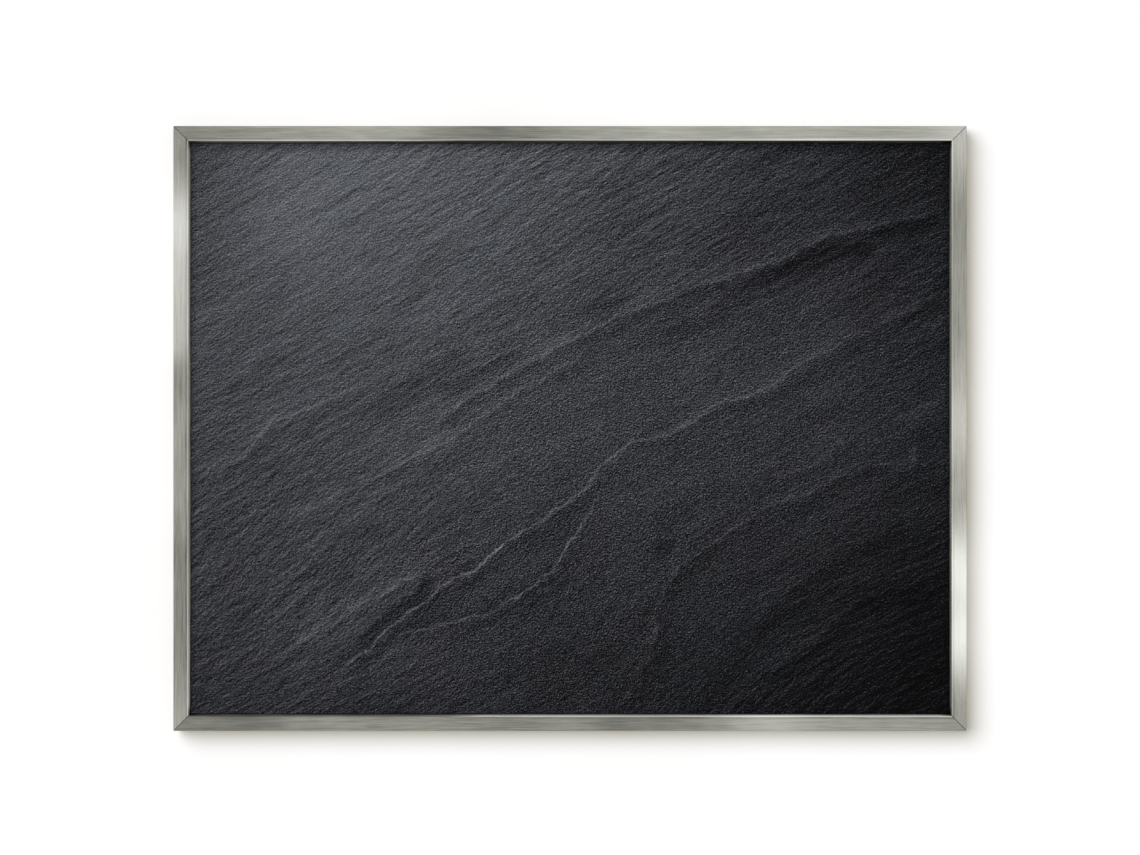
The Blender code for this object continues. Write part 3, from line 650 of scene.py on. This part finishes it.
# The painted sheen along each bar, a painted reflection of the room in the metal: a level, then soft bands
# where it is painted brighter or darker. A band has its place along the bar, its half width, both in
# millimetres, and its change.
PAINTED_FACE_SHEEN = {
    "top": (154, ((-400, 90, -22), (-205, 60, 6), (-75, 65, -34), (90, 30, 13), (230, 90, 10),
                  (410, 50, 34))),
    "bottom": (128, ((-330, 40, -10), (-245, 50, 16), (-145, 45, 16), (-5, 45, 14), (50, 35, -8),
                     (200, 55, 41), (330, 110, 22))),
    "left": (131, ((-305, 55, 30), (-62, 45, 22), (0, 35, 18), (88, 22, 28), (145, 60, 60), (215, 38, 62),
                   (295, 30, 12))),
    "right": (148, ((-215, 42, 80), (-140, 45, 84), (5, 60, 42), (215, 40, -7), (295, 45, 34))),
}
# A painted highlight: how much brighter the bead is painted than the face beside it.
PAINTED_BEAD_SHEEN = {
    "top": (36, ((-290, 110, 24), (-50, 80, 16), (270, 110, 38))),
    "bottom": (66, ((400, 100, -10),)),
    "left": (36, ((-210, 90, 30), (180, 80, -16))),
    "right": (28, ((-200, 60, -22), (240, 80, 18))),
}
# The painted level of the lip's slope, a painted reflection and painted shade.
PAINTED_LIP_SHEEN = {
    "top": (68, ((-300, 150, 38), (0, 110, 14))),
    "bottom": (90, ((0, 120, 14),)),
    "left": (147, ((-300, 50, -30),)),
    "right": (140, ((290, 50, -60), (-305, 60, -24))),
}
# Only points further forward than this, in millimetres, show the front's painted sheen. The others have the
# face's painted sheen less this drop, painted darker.
FRONT_FROM = 16.4
SIDE_DROP = 20
# The painted sheen over the front: painted shade at the outer rim and on the lip's slope, darker or lighter
# in the groove, and a painted highlight or shade on the bead. Each row has the millimetres in from the outer
# side, then how much of the face's level, the bead's and the lip's shows there.
FACE_EDGE = ((0, 0.94, 0, 0), (1, 1.02, 0, 0), (2.5, 1, 0, 0), (11.2, 1, 0, 0))
WIDE_BEAD = FACE_EDGE + (
    (12.4, 0.98, 0, 0), (12.9, 0.94, 0, 0), (13.8, 0.95, 0.2, 0), (14.2, 1, 1, 0),
    (15.1, 1, 1, 0), (15.25, 0.75, 0.75, 0.3), (15.6, 0.35, 0.3, 0.75), (15.9, 0, 0, 1),
    (16.35, 0, 0, 0.92), (17.4, 0, 0, 0.74))
EVEN_BEAD = FACE_EDGE + (
    (12.4, 1.02, 0, 0), (12.9, 1.03, 0, 0), (13.8, 1.01, 0.4, 0), (14.2, 1, 1, 0),
    (15.1, 1, 0.9, 0), (15.25, 0.6, 0.5, 0.3), (15.6, 0.25, 0.2, 0.75), (15.9, 0, 0, 0.9),
    (16.35, 0, 0, 0.92), (17.4, 0, 0, 0.70))
SHORT_BEAD = FACE_EDGE + (
    (12.4, 0.98, 0, 0), (12.9, 0.94, 0, 0), (13.8, 0.95, 0.2, 0), (14.2, 1, 1, 0),
    (15.1, 1, 0.9, 0), (15.25, 0.4, 0.4, 0.4), (15.5, 0, 0, 0.85), (16.35, 0, 0, 0.92),
    (17.4, 0, 0, 0.50))
LOW_BEAD = FACE_EDGE + (
    (12.4, 1.04, 0, 0), (13.8, 1.06, 0, 0), (14.3, 1, -0.3, 0), (15.2, 1, -0.33, 0),
    (15.8, 0.65, -0.2, 0.3), (16.35, 0, 0, 0.78), (17.4, 0, 0, 0.60))
EARLY_BEAD = FACE_EDGE + (
    (12.4, 1, 0.15, 0), (12.9, 1, 0.5, 0), (13.6, 1, 1, 0), (14.2, 1, 0.9, 0),
    (14.8, 0.85, 0.2, 0.1), (15.2, 0.3, 0, 0.35), (15.8, 0, 0, 0.75), (16.35, 0, 0, 1),
    (17.4, 0, 0, 0.75))
FULL_BEAD = FACE_EDGE + (
    (12.4, 0.97, 0, 0), (12.9, 0.94, 0, 0), (13.8, 0.96, 0.2, 0), (14.2, 1, 1, 0),
    (15.2, 1, 1, 0), (15.9, 0.8, 0.9, 0.15), (16.35, 0, 0, 0.92), (17.4, 0, 0, 0.55))
# A bar changes from its first profile to its second around this place along it, and over this length.
FRONT_PROFILES = {
    "top": (-130, EVEN_BEAD, EARLY_BEAD),
    "bottom": (-110, LOW_BEAD, FULL_BEAD),
    "left": (-200, FULL_BEAD, WIDE_BEAD),
    "right": (-105, SHORT_BEAD, EVEN_BEAD),
}
PROFILE_CHANGE_LENGTH = 40


def banded_sheen(painted_sheen, place):
    """The painted sheen along a bar: its base, and each band's change times a soft hump at the band's place.
    """
    base, bands = painted_sheen
    return base + sum(change * np.exp(-((place - middle) / half) ** 2) for middle, half, change in bands)


def front_level(side, inwards, place):
    """The painted sheen over the front: the levels of face, bead and lip, each times its share that far in.
    """
    parts = [banded_sheen(painted_sheen[side], place) for painted_sheen in (PAINTED_FACE_SHEEN, PAINTED_BEAD_SHEEN, PAINTED_LIP_SHEEN)]
    change, *profiles = FRONT_PROFILES[side]
    levels = []
    for profile in profiles:
        across, *shares = zip(*profile)
        levels.append(sum(part * np.interp(inwards, across, share) for part, share in zip(parts, shares)))
    later = np.clip((place - change) / PROFILE_CHANGE_LENGTH + 0.5, 0, 1)
    return levels[0] * (1 - later) + levels[1] * later


def rounded_outline(corners, steps=3):
    """The outline with each corner given up to an arc that touches both its sides.

    The arc's centre lies on the corner's bisector, and its points turn evenly from one side to the other.
    """
    table = np.array(corners)
    spots, radius = table[:, :2], table[:, 2:]
    back = np.roll(spots, 1, axis=0) - spots
    ahead = np.roll(spots, -1, axis=0) - spots
    back /= np.linalg.norm(back, axis=1)[:, None]
    ahead /= np.linalg.norm(ahead, axis=1)[:, None]
    half = np.arccos((back * ahead).sum(axis=1))[:, None] / 2
    middle = (back + ahead) / np.linalg.norm(back + ahead, axis=1)[:, None]
    centre = spots + middle * radius / np.sin(half)
    start = spots + back * radius / np.tan(half) - centre
    end = spots + ahead * radius / np.tan(half) - centre
    turn = (np.pi - 2 * half)[:, None, :]
    share = np.linspace(0, 1, steps + 1)[None, :, None]
    spokes = np.sin((1 - share) * turn) * start[:, None] + np.sin(share * turn) * end[:, None]
    spokes /= np.sin(turn)
    return (centre[:, None] + spokes).reshape(-1, 2)


def heading(outline):
    """The unit direction of a closed outline at each point, from the point before it to the one after it."""
    ahead = np.roll(outline, -1, axis=0) - np.roll(outline, 1, axis=0)
    return ahead / np.linalg.norm(ahead, axis=1)[:, None]


def drawn_in(outline, distance):
    """The outline moved inwards, square to its heading."""
    ahead = heading(outline)
    return outline + np.stack([ahead[:, 1], -ahead[:, 0]], axis=1) * distance


def brushed_frame_finish():
    """Brushed metal: long fine lines along the bar over its painted sheen, a painted reflection and shade,
    calmer where it is bright, and a warm tint that is stronger where the painted sheen is dark."""
    finish, tree = new_finish("brushed_frame", {"Metallic": 1.0})
    brush = written(tree, "brush", "Vector")
    painted_sheen = written(tree, "painted_sheen", "Fac")

    def lines(along, across, detail):
        finer = vector_calc(tree, "MULTIPLY", brush, (along, across, 5.0))
        return around_zero(tree, finer, 1.0, detail, 0.6)

    broad = lines(14, 420, 2)
    fine = lines(34, 1500, 2)
    hair = lines(30, 5200, 2)
    dashes = spread(tree, lines(18, 800, 2), 0.04, 0.20, 0, 1)
    blotch = lines(30, 60, 3)
    marks = product(tree, broad, 0.16)
    for pattern, share in ((fine, 0.22), (hair, 0.14), (dashes, -0.07)):
        marks = calc(tree, "MULTIPLY_ADD", pattern, share, marks)
    marks = product(tree, marks, spread(tree, painted_sheen, 0.52, 0.86, 1.15, 0.40))
    level = calc(tree, "MULTIPLY_ADD", blotch, 0.09, calc(tree, "ADD", painted_sheen, marks))
    metal = calc(tree, "POWER", calc(tree, "MAXIMUM", level, 0.05), DISPLAY_GAMMA)
    metal = product(tree, metal, 1.06)
    warmth = blend_colours(tree, spread(tree, painted_sheen, 0.55, 0.90, 0, 1),
                           (1.0, 1.0, 0.885, 1), (1.0, 1.0, 0.948, 1))
    rough = spread(tree, calc(tree, "ADD", broad, fine), -0.3, 0.3, 0.28, 0.42)
    return paint(finish, vector_calc(tree, "MULTIPLY", warmth, metal), rough, fine, 0.25, 0.00005)


def cut_rail(side, turn, finish):
    """One rail: the section carried along the bar, each end cut back at 45 degrees by as much as a point lies
    inwards. The bar is made as the bottom one and turned by quarters."""
    low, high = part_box(f"{side}_rail")
    upright = side in ("left", "right")
    half = ((high.z - low.z) if upright else (high.x - low.x)) / 2
    reach = max(abs(low.x), abs(high.x)) if upright else max(abs(low.z), abs(high.z))
    section = rounded_outline(RAIL_CORNERS) * MM
    cap = drawn_in(section, BEVEL)
    rings = [cap] + [section] * BAR_STATIONS + [cap]
    shares = np.concatenate(([-1], np.linspace(-1, 1, BAR_STATIONS), [1]))
    perimeter = np.concatenate(([0.0], np.cumsum(np.linalg.norm(np.diff(section, axis=0), axis=1))))
    points, brush = [], []
    for number, (ring, share) in enumerate(zip(rings, shares)):
        setback = 0.0 if number in (0, len(rings) - 1) else BEVEL
        along = share * (half - ring[:, 0] - setback)
        points.append(np.stack([along, -STANDOFF - ring[:, 1], ring[:, 0] - reach], axis=1))
        brush.append(np.stack([along, perimeter, np.full(len(ring), turn)], axis=1))
    local = np.concatenate(points)
    angle = turn * math.pi / 2
    turned = np.stack([local[:, 0] * math.cos(angle) + local[:, 2] * math.sin(angle), local[:, 1],
                       local[:, 2] * math.cos(angle) - local[:, 0] * math.sin(angle)], axis=1)
    count = len(section)
    faces = grid_faces(len(rings), count, closed=True)
    faces += [list(range(count)), list(range(len(local) - count, len(local)))]
    rail = solid_piece(f"brushed_rail_{side}", turned, faces, finish)
    inwards, forward = np.concatenate(rings).T / MM
    place = turned[:, 2 if upright else 0] / MM
    # The painted sheen: painted reflections along the bar, with painted highlight and shade across the front,
    # and the sides and back painted darker.
    plain = banded_sheen(PAINTED_FACE_SHEEN[side], place) - SIDE_DROP
    level = np.where(forward > FRONT_FROM, front_level(side, inwards, place), plain)
    level[:count] *= PAINTED_MITRE_SHADE
    level[-count:] *= PAINTED_MITRE_SHADE
    write_attribute(rail.data, "brush", np.concatenate(brush))
    write_attribute(rail.data, "painted_sheen", level / FULL_LEVEL)
    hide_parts(f"{side}_rail")
    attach(rail, "frame")


frame_finish = brushed_frame_finish()
for quarter, side in enumerate(("bottom", "left", "top", "right")):
    cut_rail(side, quarter, frame_finish)


# Corner keys, shims and key screws
# At each mitre a zinc-plated steel L slides into the channels of both rails over a thinner L. Two slotted
# screws in the key press the pair apart, which clamps the corner.

def zinc_finish():
    """Zinc plate: a clouded blue-grey with fine grain, scratches and faint straw stains from passivation."""
    finish, tree = new_finish("zinc_plate", {"Metallic": 1.0})
    place = own_place(tree)
    cloudy = noise(tree, place, 220, 4, 0.65)
    grain = noise(tree, place, 2600, 2, 0.6)
    mixed = calc(tree, "ADD", product(tree, cloudy, 0.6), product(tree, grain, 0.4))
    pale = blend_colours(tree, spread(tree, mixed, 0.38, 0.62, 0, 1),
                         (0.30, 0.315, 0.34, 1), (0.56, 0.575, 0.60, 1))
    straw = clouds(tree, place, 90, 3, 0.5, 0.50, 0.68, 0, 0.45)["Mask"]
    stained = blend_colours(tree, straw, pale, (0.46, 0.435, 0.36, 1))
    scratches = clouds(tree, stretched(tree, place, 12, (14, 1, 1)), 1600, 2, 0.6, 0.4, 0.6, -0.06, 0.08)
    rough = calc(tree, "ADD", spread(tree, mixed, 0.38, 0.62, 0.26, 0.46), scratches["Mask"])
    return paint(finish, stained, rough, scratches["Noise"], 0.35, 0.00004)


zinc = zinc_finish()
CORNERS = ("bottom_left", "top_left", "top_right", "bottom_right")
for corner in CORNERS:
    dress(f"corner_shim_{corner}", zinc)
    dress(f"corner_key_{corner}", zinc)
    dress(f"key_screw_{corner}_1", zinc)
    dress(f"key_screw_{corner}_2", zinc)


# Spring clips
# Bowed leaves of hardened spring steel, pushed in by hand between the rail's channel and the backing board.
# Their ends bear on the board and their middle on the channel, and nothing else holds them.

def spring_steel_finish():
    """Tempered strip: a dark grey with straw and blue clouds from the heat, and a fine uneven gloss."""
    finish, tree = new_finish("spring_steel", {"Metallic": 1.0})
    place = own_place(tree)
    dark = blend_colours(tree, clouds(tree, place, 60, 3, 0.5, 0.35, 0.65)["Mask"],
                         (0.23, 0.245, 0.28, 1), (0.36, 0.35, 0.32, 1))
    return paint(finish, dark, clouds(tree, place, 1100, 2, 0.5, 0.35, 0.65, 0.26, 0.42)["Mask"])


spring_steel = spring_steel_finish()
for side, count in (("bottom", 3), ("top", 3), ("left", 2), ("right", 2)):
    for number in range(1, count + 1):
        dress(f"spring_clip_{side}_{number}", spring_steel)


# Hangers
# In each side channel a zinc-plated nut slides up or down. A screw through a folded steel strap clamps it,
# and the fold carries a D-ring of nickel-plated wire, which swings up and down to meet a hook in the wall.

def nickel_finish():
    """Nickel plate on drawn wire: bright and slightly warm, with faint clouds from handling."""
    finish, tree = new_finish("nickel_wire", {"Metallic": 1.0})
    cloudy = clouds(tree, own_place(tree), 500, 3, 0.6, 0.3, 0.7)
    warm = blend_colours(tree, cloudy["Mask"], (0.60, 0.585, 0.55, 1), (0.72, 0.705, 0.67, 1))
    return paint(finish, warm, spread(tree, cloudy["Noise"], 0.3, 0.7, 0.14, 0.30))


# The round where the ring's bar meets its legs, and the steps and sides of the bent wire.
RING_CORNER = 1.2 * MM
CORNER_STEPS = 8
BOWL_STEPS = 48
WIRE_SIDES = 20


def bend_ring(name, finish):
    """The D-ring's round wire: a circle carried round a closed route of a bar, two legs and a half circle."""
    low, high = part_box(f"d_ring_{name}")
    wire = (high.y - low.y) / 2
    middle_x = (low.x + high.x) / 2
    side = (high.x - low.x) / 2 - wire
    shoulder = high.z - wire - RING_CORNER
    bowl = low.z + wire + side

    def arc(centre_x, centre_z, radius, start, end, steps):
        angles = np.radians(np.linspace(start, end, steps + 1))
        return np.stack([centre_x + radius * np.cos(angles), centre_z + radius * np.sin(angles)], axis=1)

    inner = side - RING_CORNER
    route = np.concatenate((arc(middle_x + inner, shoulder, RING_CORNER, 90, 0, CORNER_STEPS),
                            arc(middle_x, bowl, side, 0, -180, BOWL_STEPS),
                            arc(middle_x - inner, shoulder, RING_CORNER, 180, 90, CORNER_STEPS)))
    ahead = heading(route)
    outwards = np.stack([-ahead[:, 1], ahead[:, 0]], axis=1)
    angles = np.linspace(0, 2 * np.pi, WIRE_SIDES, endpoint=False)
    flat = route[:, None, :] + wire * np.cos(angles)[None, :, None] * outwards[:, None, :]
    level = np.tile((low.y + high.y) / 2 + wire * np.sin(angles), (len(route), 1))
    points = np.stack([flat[..., 0], level, flat[..., 1]], axis=-1).reshape(-1, 3)
    faces = grid_faces(len(route), WIRE_SIDES, closed=True)
    last = (len(route) - 1) * WIRE_SIDES
    faces += [[last + k, last + (k + 1) % WIRE_SIDES, (k + 1) % WIRE_SIDES, k] for k in range(WIRE_SIDES)]
    ring = solid_piece(f"ring_wire_{name}", points, faces, finish)
    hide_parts(f"d_ring_{name}")
    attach(ring, f"ring_{name}")


nickel = nickel_finish()
for side in ("left", "right"):
    for node_name in (f"slide_nut_{side}", f"hanger_strap_{side}", f"clamp_screw_{side}"):
        dress(node_name, zinc)
    bend_ring(side, nickel)


# Bumpers
# A black rubber foot on the back of each corner, moulded with a round edge, keeps the frame off the wall.

def rubber_finish():
    """Moulded rubber: a soft black with a fine matt texture and a little dust."""
    finish, tree = new_finish("bumper_rubber", {"Specular IOR Level": 0.35})
    place = own_place(tree)
    pores = noise(tree, place, 1400, 3, 0.6)
    dust = clouds(tree, place, 220, 4, 0.6, 0.45, 0.7, 0, 0.5)
    black = blend_colours(tree, dust["Mask"], (0.022, 0.022, 0.023, 1), (0.075, 0.073, 0.070, 1))
    return paint(finish, black, spread(tree, dust["Noise"], 0.3, 0.7, 0.62, 0.85), pores, 0.4, 0.00008)


# The foot's round at its base, its round at the flat end, how much it tapers, and its sides.
BASE_ROUND = 0.25 * MM
END_ROUND = 1.2 * MM
TAPER = 0.8 * MM
FOOT_SIDES = 64


def turn_bumper(corner, finish):
    """The foot's profile, as radius and place along Y, carried round its axis: a small round at the base, a
    slight taper and a larger round at the flat end."""
    low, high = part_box(f"bumper_{corner}")
    centre = (low + high) / 2
    radius = (high.x - low.x) / 2
    turn = np.radians(np.linspace(0, 90, 7))
    base = np.stack([radius - BASE_ROUND + BASE_ROUND * np.sin(turn),
                     low.y + BASE_ROUND - BASE_ROUND * np.cos(turn)], axis=1)
    end = np.stack([radius - TAPER - END_ROUND + END_ROUND * np.cos(turn),
                    high.y - END_ROUND + END_ROUND * np.sin(turn)], axis=1)
    profile = np.concatenate((base, end))
    angles = np.linspace(0, 2 * np.pi, FOOT_SIDES, endpoint=False)
    across = centre.x + profile[:, :1] * np.cos(angles)
    upward = centre.z + profile[:, :1] * np.sin(angles)
    along = np.tile(profile[:, 1:], (1, FOOT_SIDES))
    points = np.stack([across, along, upward], axis=-1).reshape(-1, 3)
    faces = grid_faces(len(profile), FOOT_SIDES, closed=True)
    faces += [list(range(FOOT_SIDES)), list(range(len(points) - FOOT_SIDES, len(points)))]
    foot = solid_piece(f"foot_{corner}", points, faces, finish)
    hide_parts(f"bumper_{corner}")
    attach(foot, "frame")


rubber = rubber_finish()
for corner in CORNERS:
    turn_bumper(corner, rubber)


# Wall and floor
# A plain pale wall just behind the bumpers and a plain pale floor well below. Both only show, and catch the
# board's shadow: they throw no light or shadow back on it, and seen from behind they let the view through.

def plain_white(name):
    """A pale surface: matt, plus an even glow for the camera that keeps it white, with warm shadows."""
    finish = bpy.data.materials.new(name)
    finish.use_nodes = True
    tree = finish.node_tree
    tree.nodes.clear()
    matt = blend_colours(tree, noise(tree, own_place(tree), 3, 2, 0.5),
                         (0.88, 0.90, 0.98, 1), (0.89, 0.91, 0.985, 1))
    surface = add(tree, "ShaderNodeBsdfDiffuse", {"Color": matt}).outputs[0]
    glow = add(tree, "ShaderNodeEmission", {"Color": (0.145, 0.12, 0.04, 1), "Strength": 1.0}).outputs[0]
    front = add(tree, "ShaderNodeAddShader", {0: surface, 1: glow}).outputs[0]
    through = add(tree, "ShaderNodeBsdfTransparent").outputs[0]
    behind = add(tree, "ShaderNodeNewGeometry").outputs["Backfacing"]
    shown = add(tree, "ShaderNodeMixShader", {0: behind, 1: front, 2: through}).outputs[0]
    add(tree, "ShaderNodeOutputMaterial", {"Surface": shown})
    return finish


def stage_plane(name, corners, finish):
    """A flat four-sided surface that only the camera sees."""
    mesh = bpy.data.meshes.new(name)
    mesh.from_pydata(corners, [], [(0, 1, 2, 3)])
    mesh.materials.append(finish)
    plane = put_in_scene(name, mesh)
    plane.visible_diffuse = False
    plane.visible_glossy = False
    plane.visible_transmission = False
    plane.visible_shadow = False


WALL_Y = 0.0004
FLOOR_Z = -0.9
ROOM = 3.0
white = plain_white("plain_white")
upright_corners = ((-ROOM, FLOOR_Z), (ROOM, FLOOR_Z), (ROOM, ROOM), (-ROOM, ROOM))
level_corners = ((-ROOM, -ROOM), (ROOM, -ROOM), (ROOM, ROOM), (-ROOM, ROOM))
stage_plane("wall", [(x, WALL_Y, z) for x, z in upright_corners], white)
stage_plane("floor", [(x, y, FLOOR_Z) for x, y in level_corners], white)


# Light
# One broad key lamp from the upper left of the front and one like it behind, for the back, in an even white
# studio. The key is tilted so that the wall's shadow falls just to the right of the frame and below it.

def broad_lamp(name, towards, share, degrees):
    """A sun as wide as a softbox. It gives faces along Y this share of full light."""
    lamp = bpy.data.lights.new(name, "SUN")
    travel = Vector(towards).normalized()
    lamp.energy = share * math.pi / abs(travel.y)
    lamp.angle = math.radians(degrees)
    holder = put_in_scene(name, lamp)
    holder.rotation_euler = travel.to_track_quat("-Z", "Y").to_euler()
    holder.visible_glossy = False


# The shares of full light that the room's even glow and each lamp give.
ROOM_SHARE = 0.32
KEY_SHARE = 0.68
broad_lamp("key_lamp", (0.60, 1.0, -0.44), KEY_SHARE, 50)
broad_lamp("back_lamp", (-0.42, -1.0, -0.55), KEY_SHARE, 46)


def studio_world():
    """White to the camera, an even dim glow for matt surfaces, and brighter behind and above in gloss."""
    world = bpy.data.worlds.new("studio")
    bpy.context.scene.world = world
    world.use_nodes = True
    tree = world.node_tree
    look = add(tree, "ShaderNodeTexCoord").outputs["Generated"]
    parts = add(tree, "ShaderNodeSeparateXYZ", {0: look}).outputs
    front = calc(tree, "MULTIPLY_ADD", parts[2], 0.08, 0.98)
    above = calc(tree, "MULTIPLY_ADD", parts[2], 0.30, 0.86)
    back = calc(tree, "MULTIPLY_ADD", parts[0], -0.10, above)
    turned = spread(tree, parts[1], 0.15, 0.80, 0, 1)
    reflected = calc(tree, "MULTIPLY_ADD", calc(tree, "SUBTRACT", back, front), turned, front)
    rays = add(tree, "ShaderNodeLightPath").outputs
    seen = calc(tree, "MAXIMUM", rays["Is Camera Ray"], rays["Is Transmission Ray"])
    level = calc(tree, "ADD", ROOM_SHARE, product(tree, seen, 1.0 - ROOM_SHARE))
    glossy = product(tree, rays["Is Glossy Ray"], calc(tree, "SUBTRACT", reflected, ROOM_SHARE))
    strength = calc(tree, "ADD", level, glossy)
    tree.links.new(strength, tree.nodes["Background"].inputs["Strength"])
    tree.nodes["Background"].inputs["Color"].default_value = (1, 1, 1, 1)


studio_world()
bpy.context.scene.view_settings.view_transform = "Standard"


# Camera
# A long lens square to the print, so far off that the frame's front fills the same share of the picture
# as in the photograph.

PICTURE_WIDTH = 1.1493
CAMERA_HEIGHT = 0.0009
LENS = 100.0
FILM_GATE = 36.0
FAR_END = 20.0
lens = bpy.data.cameras.new("camera")
lens.lens = LENS
lens.sensor_width = FILM_GATE
lens.clip_end = FAR_END
camera = put_in_scene("camera", lens)
camera.location = (0.0, cad_low.y - PICTURE_WIDTH * LENS / FILM_GATE, CAMERA_HEIGHT)
camera.rotation_euler = (math.pi / 2, 0.0, 0.0)
bpy.context.scene.camera = camera
